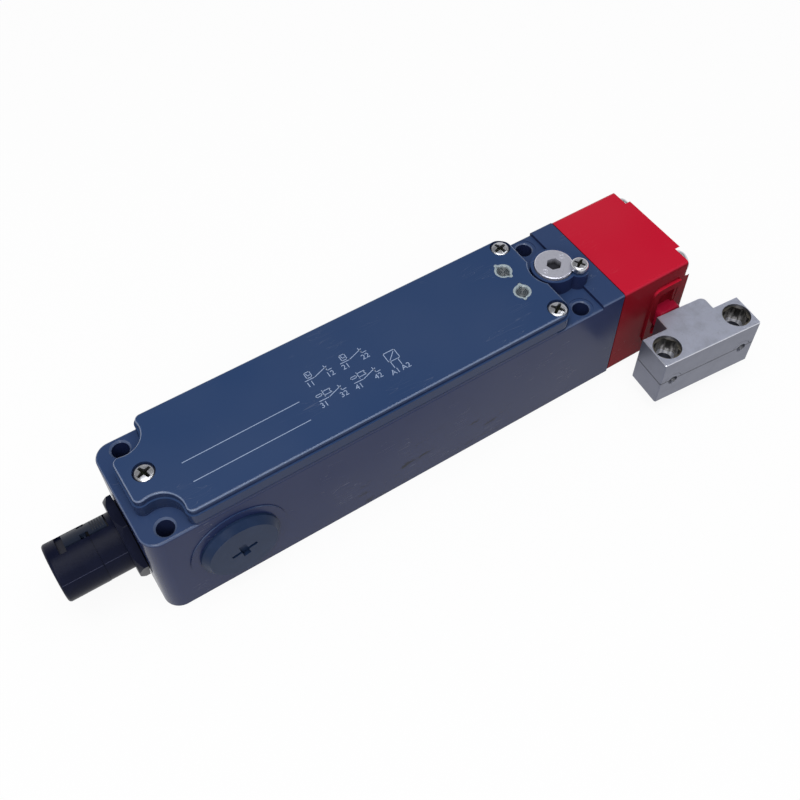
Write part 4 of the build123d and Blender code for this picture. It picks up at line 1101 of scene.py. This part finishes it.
@dataclass
class IndicatorLens:
    """A round lens with a raised rim, a stepped well and two small ears."""

    name: str
    node: str
    centre: tuple[float, float]
    top: float
    ear_turn: float
    ear_reach: float
    radius: float = 2.95
    thickness: float = 2.0
    well_depth: float = 0.55
    well_wall: tuple[float, float] = (0.84, 0.6)
    ear_spread: float = 0.2
    ripple_height: float = 0.05
    ripple_rate: float = 34.0
    rim_drop: float = 0.03
    rings: int = 60
    segments: int = 144

    def skin(self) -> Skin:
        """Rim, well and ears as rings about the lens's axis.

        The edge lies at R plus two narrow bells at the ears' angles. The well's wall falls between two
        shares of the edge's radius, and its floor has a low ripple of rings.

        Returns:
            The lens.
        """
        angle = np.linspace(0.0, 2 * math.pi, self.segments, endpoint=False)
        share = np.linspace(0.015, 1.0, self.rings)[:, None] + 0 * angle
        off = np.abs((angle - math.radians(self.ear_turn) + math.pi / 2) % math.pi - math.pi / 2)
        edge = self.radius + self.ear_reach * np.exp(-(off / self.ear_spread) ** 4)
        radius = share * edge
        sunk = eased(share, *self.well_wall)
        wave = np.cos(share * self.ripple_rate)
        rim = self.rim_drop * eased(share, 0.88, 1.0)
        height = self.top - self.well_depth * sunk + self.ripple_height * wave * sunk - rim
        side = about_z(edge, angle, np.array([[self.top - self.thickness]]))
        under = side * np.array([0.5, 0.5, 1.0])
        # the recess share also sets the painted shade in the well
        recess = np.concatenate([sunk * (0.88 + 0.12 * wave), np.zeros((2, self.segments))])
        rings = np.concatenate([about_z(radius, angle, height), side, under])
        return Skin.from_rings(rings, recess).moved(*self.centre, 0.0)

    def build(self) -> None:
        """Makes the lens a piece on the switch."""
        self.skin().piece(self.name, Finish.LENS, "switch", "lens_plastic", self.node)


# Connector trim

@dataclass
class ConnectorTrim:
    """A dark ring behind the connector's seam, which is painted shade in the seam, and the raised mould line
    along its barrel, lighter than the barrel as a painted highlight.
    """

    axis_height: float = 20.0
    seam: float = -93.15
    shade_ring_half_width: float = 0.5
    shade_ring_radii: tuple[float, float] = (7.4, 9.2)
    shade_ring_sides: int = 96
    line_turn: float = 148.0
    line_half_width: float = 0.11
    line_proud: float = 0.07
    line_sunk: float = 0.1
    line_steps: int = 9
    line_runs: tuple[Triple, ...] = ((-106.2, -93.4, 9.45), (-92.9, -85.6, 9.35))

    def build(self) -> None:
        """Makes both pieces."""
        low, high = self.shade_ring_radii
        start, end = self.seam - self.shade_ring_half_width, self.seam + self.shade_ring_half_width
        outline = np.array([[low, start], [high, start], [high, end], [low, end]])
        around = np.linspace(0.0, 2 * math.pi, self.shade_ring_sides, endpoint=False)
        # dark ring inside the barrel: painted shade seen through the seam
        seam_shade = Skin.swept(outline, around).moved(0.0, 0.0, self.axis_height)
        seam_shade.piece("seam_shade_ring", Finish.INSERT, "switch", "insert_plastic")
        lines = [self._line(*run) for run in self.line_runs]
        # ridge coloured lighter than the barrel: painted highlight
        joined(lines).piece("lit_mould_line", Finish.LINE, "switch", "connector_plastic")

    def _line(self, start: float, end: float, radius: float) -> Skin:
        """A low half-round ridge along X on the barrel.

        Across the ridge, the radius is that of the barrel plus proud times the cosine of the share of the
        half width, and the ridge's foot lies just inside the barrel.

        Args:
            start: Where the ridge starts along X.
            end: Where it ends.
            radius: The barrel's radius there.

        Returns:
            The closed ridge.
        """
        share = np.linspace(-1.0, 1.0, self.line_steps)
        proud = radius + self.line_proud * np.cos(share * math.pi / 2)
        foot = np.full(self.line_steps, radius - self.line_sunk)
        reach = np.concatenate([proud, foot])
        across = np.concatenate([share, share[::-1]]) * self.line_half_width / radius
        across = across + math.radians(self.line_turn)
        along = np.array([start, end])[:, None]
        reach = reach + 0 * along
        rings = np.stack([along + 0 * across, reach * np.cos(across), reach * np.sin(across)], axis=-1)
        return Skin.from_rings(rings[::-1], np.zeros(rings.shape[:2])).moved(0.0, 0.0, self.axis_height)


# Spring round the push rod

@dataclass
class RodSpring:
    """The open spring round the push rod, built at one length; the real spring shortens towards its fixed
    end as the rod comes in.
    """

    node: str = "push_rod_spring"
    joint: str = "push_rod_slide"
    wire_radius: float = 0.35
    turns: int = 6
    travel: float = 4.0
    steps: int = 36
    sides: int = 10

    def build(self) -> None:
        """Makes the spring a piece on the switch.

        The wire's middle follows a helix of radius R about the X axis, at the angle 2 pi N t for t from
        0 to 1. The wire's own circle lies across the helix, between its outward direction and a second one
        at right angles to it and to the run.
        """
        low, high = (np.array(corner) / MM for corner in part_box(self.node))
        length = high[0] - low[0]
        centre = (low + high) / 2
        coil_radius = (high[2] - low[2]) / 2 - self.wire_radius
        share = np.linspace(0.0, 1.0, self.turns * self.steps + 1)
        angle = 2 * math.pi * self.turns * share
        outward = np.stack([0 * angle, np.cos(angle), np.sin(angle)], axis=-1)
        path = coil_radius * outward + centre
        path[:, 0] = low[0] + self.wire_radius + (length - 2 * self.wire_radius) * share
        way = np.gradient(path, axis=0)
        way = way / np.linalg.norm(way, axis=1, keepdims=True)
        across = np.cross(outward, way)
        turn = np.linspace(0.0, 2 * math.pi, self.sides, endpoint=False)[:, None]
        wire = np.cos(turn) * outward[:, None] + np.sin(turn) * across[:, None]
        rings = path[:, None] + self.wire_radius * wire
        skin = Skin.from_rings(rings, np.zeros(rings.shape[:2]))
        piece = skin.piece("rod_spring", Finish.INNER, "switch", "inner_steel", self.node)
        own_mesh(piece)


# Print on the cover

@dataclass
class CoverPrint:
    """Contact and coil symbols with their plain terminal numbers, printed on the cover."""

    surface: float = 47.0
    sunk: float = 0.02
    proud: float = 0.025
    line_width: float = 0.25
    letter_size: float = 2.7
    boxed: tuple[tuple[float, float, str, str], ...] = (
        (-17.8, 2.62, "11", "12"), (-5.5, 2.65, "21", "22"))
    plunged: tuple[tuple[float, float, str, str], ...] = (
        (-17.8, -6.1, "31", "32"), (-5.7, -6.0, "41", "42"))
    rules: tuple[tuple[float, float, float, float], ...] = (
        (-61.5, -3.3, -23.1, -2.9), (-61.4, -10.7, -23.4, -10.4))

    def build(self) -> None:
        """Makes every stroke and number one piece on the cover."""
        strokes: list[Stroke] = [[(a, b), (c, d)] for a, b, c, d in self.rules]
        words: list[tuple[str, float, float]] = []
        for x, y, left, right in self.boxed:
            strokes += self._contact(x, y) + self._box(x + 1.85, y + 1.75)
            words += [(left, x + 0.95, y - 1.75), (right, x + 7.95, y - 1.6)]
        for x, y, left, right in self.plunged:
            strokes += self._contact(x, y) + self._plunger(x - 0.1, y + 2.0)
            words += [(left, x + 0.7, y - 1.75), (right, x + 7.6, y - 1.55)]
        strokes += self._coil()
        words += [("A1", 7.1, -8.95), ("A2", 10.85, -8.9)]
        grid = bmesh.new()
        self._add_strokes(grid, strokes)
        for text, x, y in words:
            self._add_word(grid, text, x, y)
        mesh = bpy.data.meshes.new("cover_print")
        grid.to_mesh(mesh)
        grid.free()
        finish_piece("cover_print", mesh, Finish.PRINT, "switch", "cover_paint")

    def _contact(self, x: float, y: float) -> list[Stroke]:
        """Base line, blade, cross tick and hook of one contact.

        Args:
            x: The base line's left end along X.
            y: The base line's left end along Y.

        Returns:
            The strokes.
        """
        base = [(x, y), (x + 3.2, y - 0.05), (x + 8.1, y + 1.65)]
        tick = [(x + 7.4, y + 2.25), (x + 7.75, y + 0.75)]
        hook = [(x + 7.65, y + 1.2), (x + 7.65, y + 0.1), (x + 9.1, y + 0.15)]
        return [base, tick, hook]

    def _box(self, x: float, y: float) -> list[Stroke]:
        """A square with a slanted stroke.

        Args:
            x: Its centre along X.
            y: Its centre along Y.

        Returns:
            The strokes.
        """
        slant = [(x - 0.45, y + 0.6), (x - 0.1, y - 0.45), (x + 0.45, y - 0.1)]
        return [self._frame(x - 0.9, y - 1.1, x + 0.9, y + 1.1), slant]

    def _plunger(self, x: float, y: float) -> list[Stroke]:
        """A small square, a bracket and a larger box with a notched end.

        Args:
            x: The square's left side.
            y: The middle of all three along Y.

        Returns:
            The strokes.
        """
        bracket = [(x + 2.45, y + 1.2), (x + 2.45, y - 1.2)]
        large = [(x + 2.45, y - 0.75), (x + 5.1, y - 0.75), (x + 4.5, y), (x + 5.1, y + 0.75),
                 (x + 2.45, y + 0.75)]
        return [self._frame(x, y - 0.4, x + 1.9, y + 0.4), bracket, large]

    def _coil(self) -> list[Stroke]:
        """A coil's rectangle with a slanted stroke and two leads."""
        leads = [[(7.65, -4.9), (7.65, -7.5)], [(10.25, -4.9), (10.25, -7.4)]]
        return [self._frame(7.2, -4.9, 11.15, -1.3), [(7.9, -4.4), (10.5, -1.9)], *leads]

    def _frame(self, left: float, low: float, right: float, high: float) -> Stroke:
        """A rectangle's outline, from its lower left corner round to it again."""
        return [(left, low), (right, low), (right, high), (left, high), (left, low)]

    def _add_strokes(self, grid: bmesh.types.BMesh, strokes: list[Stroke]) -> None:
        """Adds a flat bar for each run of each stroke.

        Each bar reaches half a line width past its ends and to both sides, so that corners close.

        Args:
            grid: The mesh that takes the bars.
            strokes: Each stroke's points.
        """
        runs = np.array([[stroke[i], stroke[i + 1]] for stroke in strokes for i in range(len(stroke) - 1)])
        way = runs[:, 1] - runs[:, 0]
        way = way / np.linalg.norm(way, axis=1, keepdims=True) * self.line_width / 2
        side = np.stack([-way[:, 1], way[:, 0]], axis=-1)
        start, end = runs[:, 0] - way, runs[:, 1] + way
        flat = np.stack([start - side, end - side, end + side, start + side], axis=1)
        low = np.concatenate([flat, np.full(flat.shape[:2] + (1,), self.surface - self.sunk)], axis=-1)
        high = np.concatenate([flat, np.full(flat.shape[:2] + (1,), self.surface + self.proud)], axis=-1)
        corners = np.concatenate([low, high], axis=1).reshape(-1, 3) * MM
        sides = [[i, (i + 1) % 4, (i + 1) % 4 + 4, i + 4] for i in range(4)]
        block = np.array([[3, 2, 1, 0], [4, 5, 6, 7], *sides])
        faces = (block[None] + 8 * np.arange(len(runs))[:, None, None]).reshape(-1, 4)
        mesh = bpy.data.meshes.new("strokes")
        mesh.from_pydata(corners.tolist(), [], faces.tolist())
        grid.from_mesh(mesh)
        bpy.data.meshes.remove(mesh)

    def _add_word(self, grid: bmesh.types.BMesh, text: str, x: float, y: float) -> None:
        """Adds one terminal number, centred on a point of the cover.

        Args:
            grid: The mesh that takes it.
            text: The number.
            x: Its centre along X.
            y: Its centre along Y.
        """
        curve = bpy.data.curves.new("number", "FONT")
        curve.body = text
        curve.size = self.letter_size * MM
        curve.align_x = "CENTER"
        curve.align_y = "CENTER"
        curve.extrude = (self.sunk + self.proud) / 2 * MM
        curve.resolution_u = 4
        holder = bpy.data.objects.new("number", curve)
        bpy.context.scene.collection.objects.link(holder)
        mesh = bpy.data.meshes.new_from_object(holder)
        points = np.empty(len(mesh.vertices) * 3, dtype=np.float32)
        mesh.vertices.foreach_get("co", points)
        middle = self.surface + (self.proud - self.sunk) / 2
        mesh.vertices.foreach_set("co", (points.reshape(-1, 3) + np.array([x, y, middle]) * MM).ravel())
        grid.from_mesh(mesh)
        bpy.data.meshes.remove(mesh)
        bpy.data.objects.remove(holder)


def main() -> None:
    """Loads the frame, builds the studio and dresses the switch."""
    logging.basicConfig(level=logging.INFO, format="%(name)s %(message)s")
    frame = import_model()
    Studio().build()
    PackedPieces(frame).dress()
    Fasteners().build()
    ReleaseDisc().build()
    IndicatorLens("lens_upper", "indicator_lens_1", centre=(58.3, 6.5), top=47.06,
                  ear_turn=105.0, ear_reach=0.85).build()
    IndicatorLens("lens_lower", "indicator_lens_2", centre=(58.3, -3.9), top=47.03,
                  ear_turn=70.0, ear_reach=0.6).build()
    ConnectorTrim().build()
    RodSpring().build()
    CoverPrint().build()


if __name__ == "__main__":
    main()
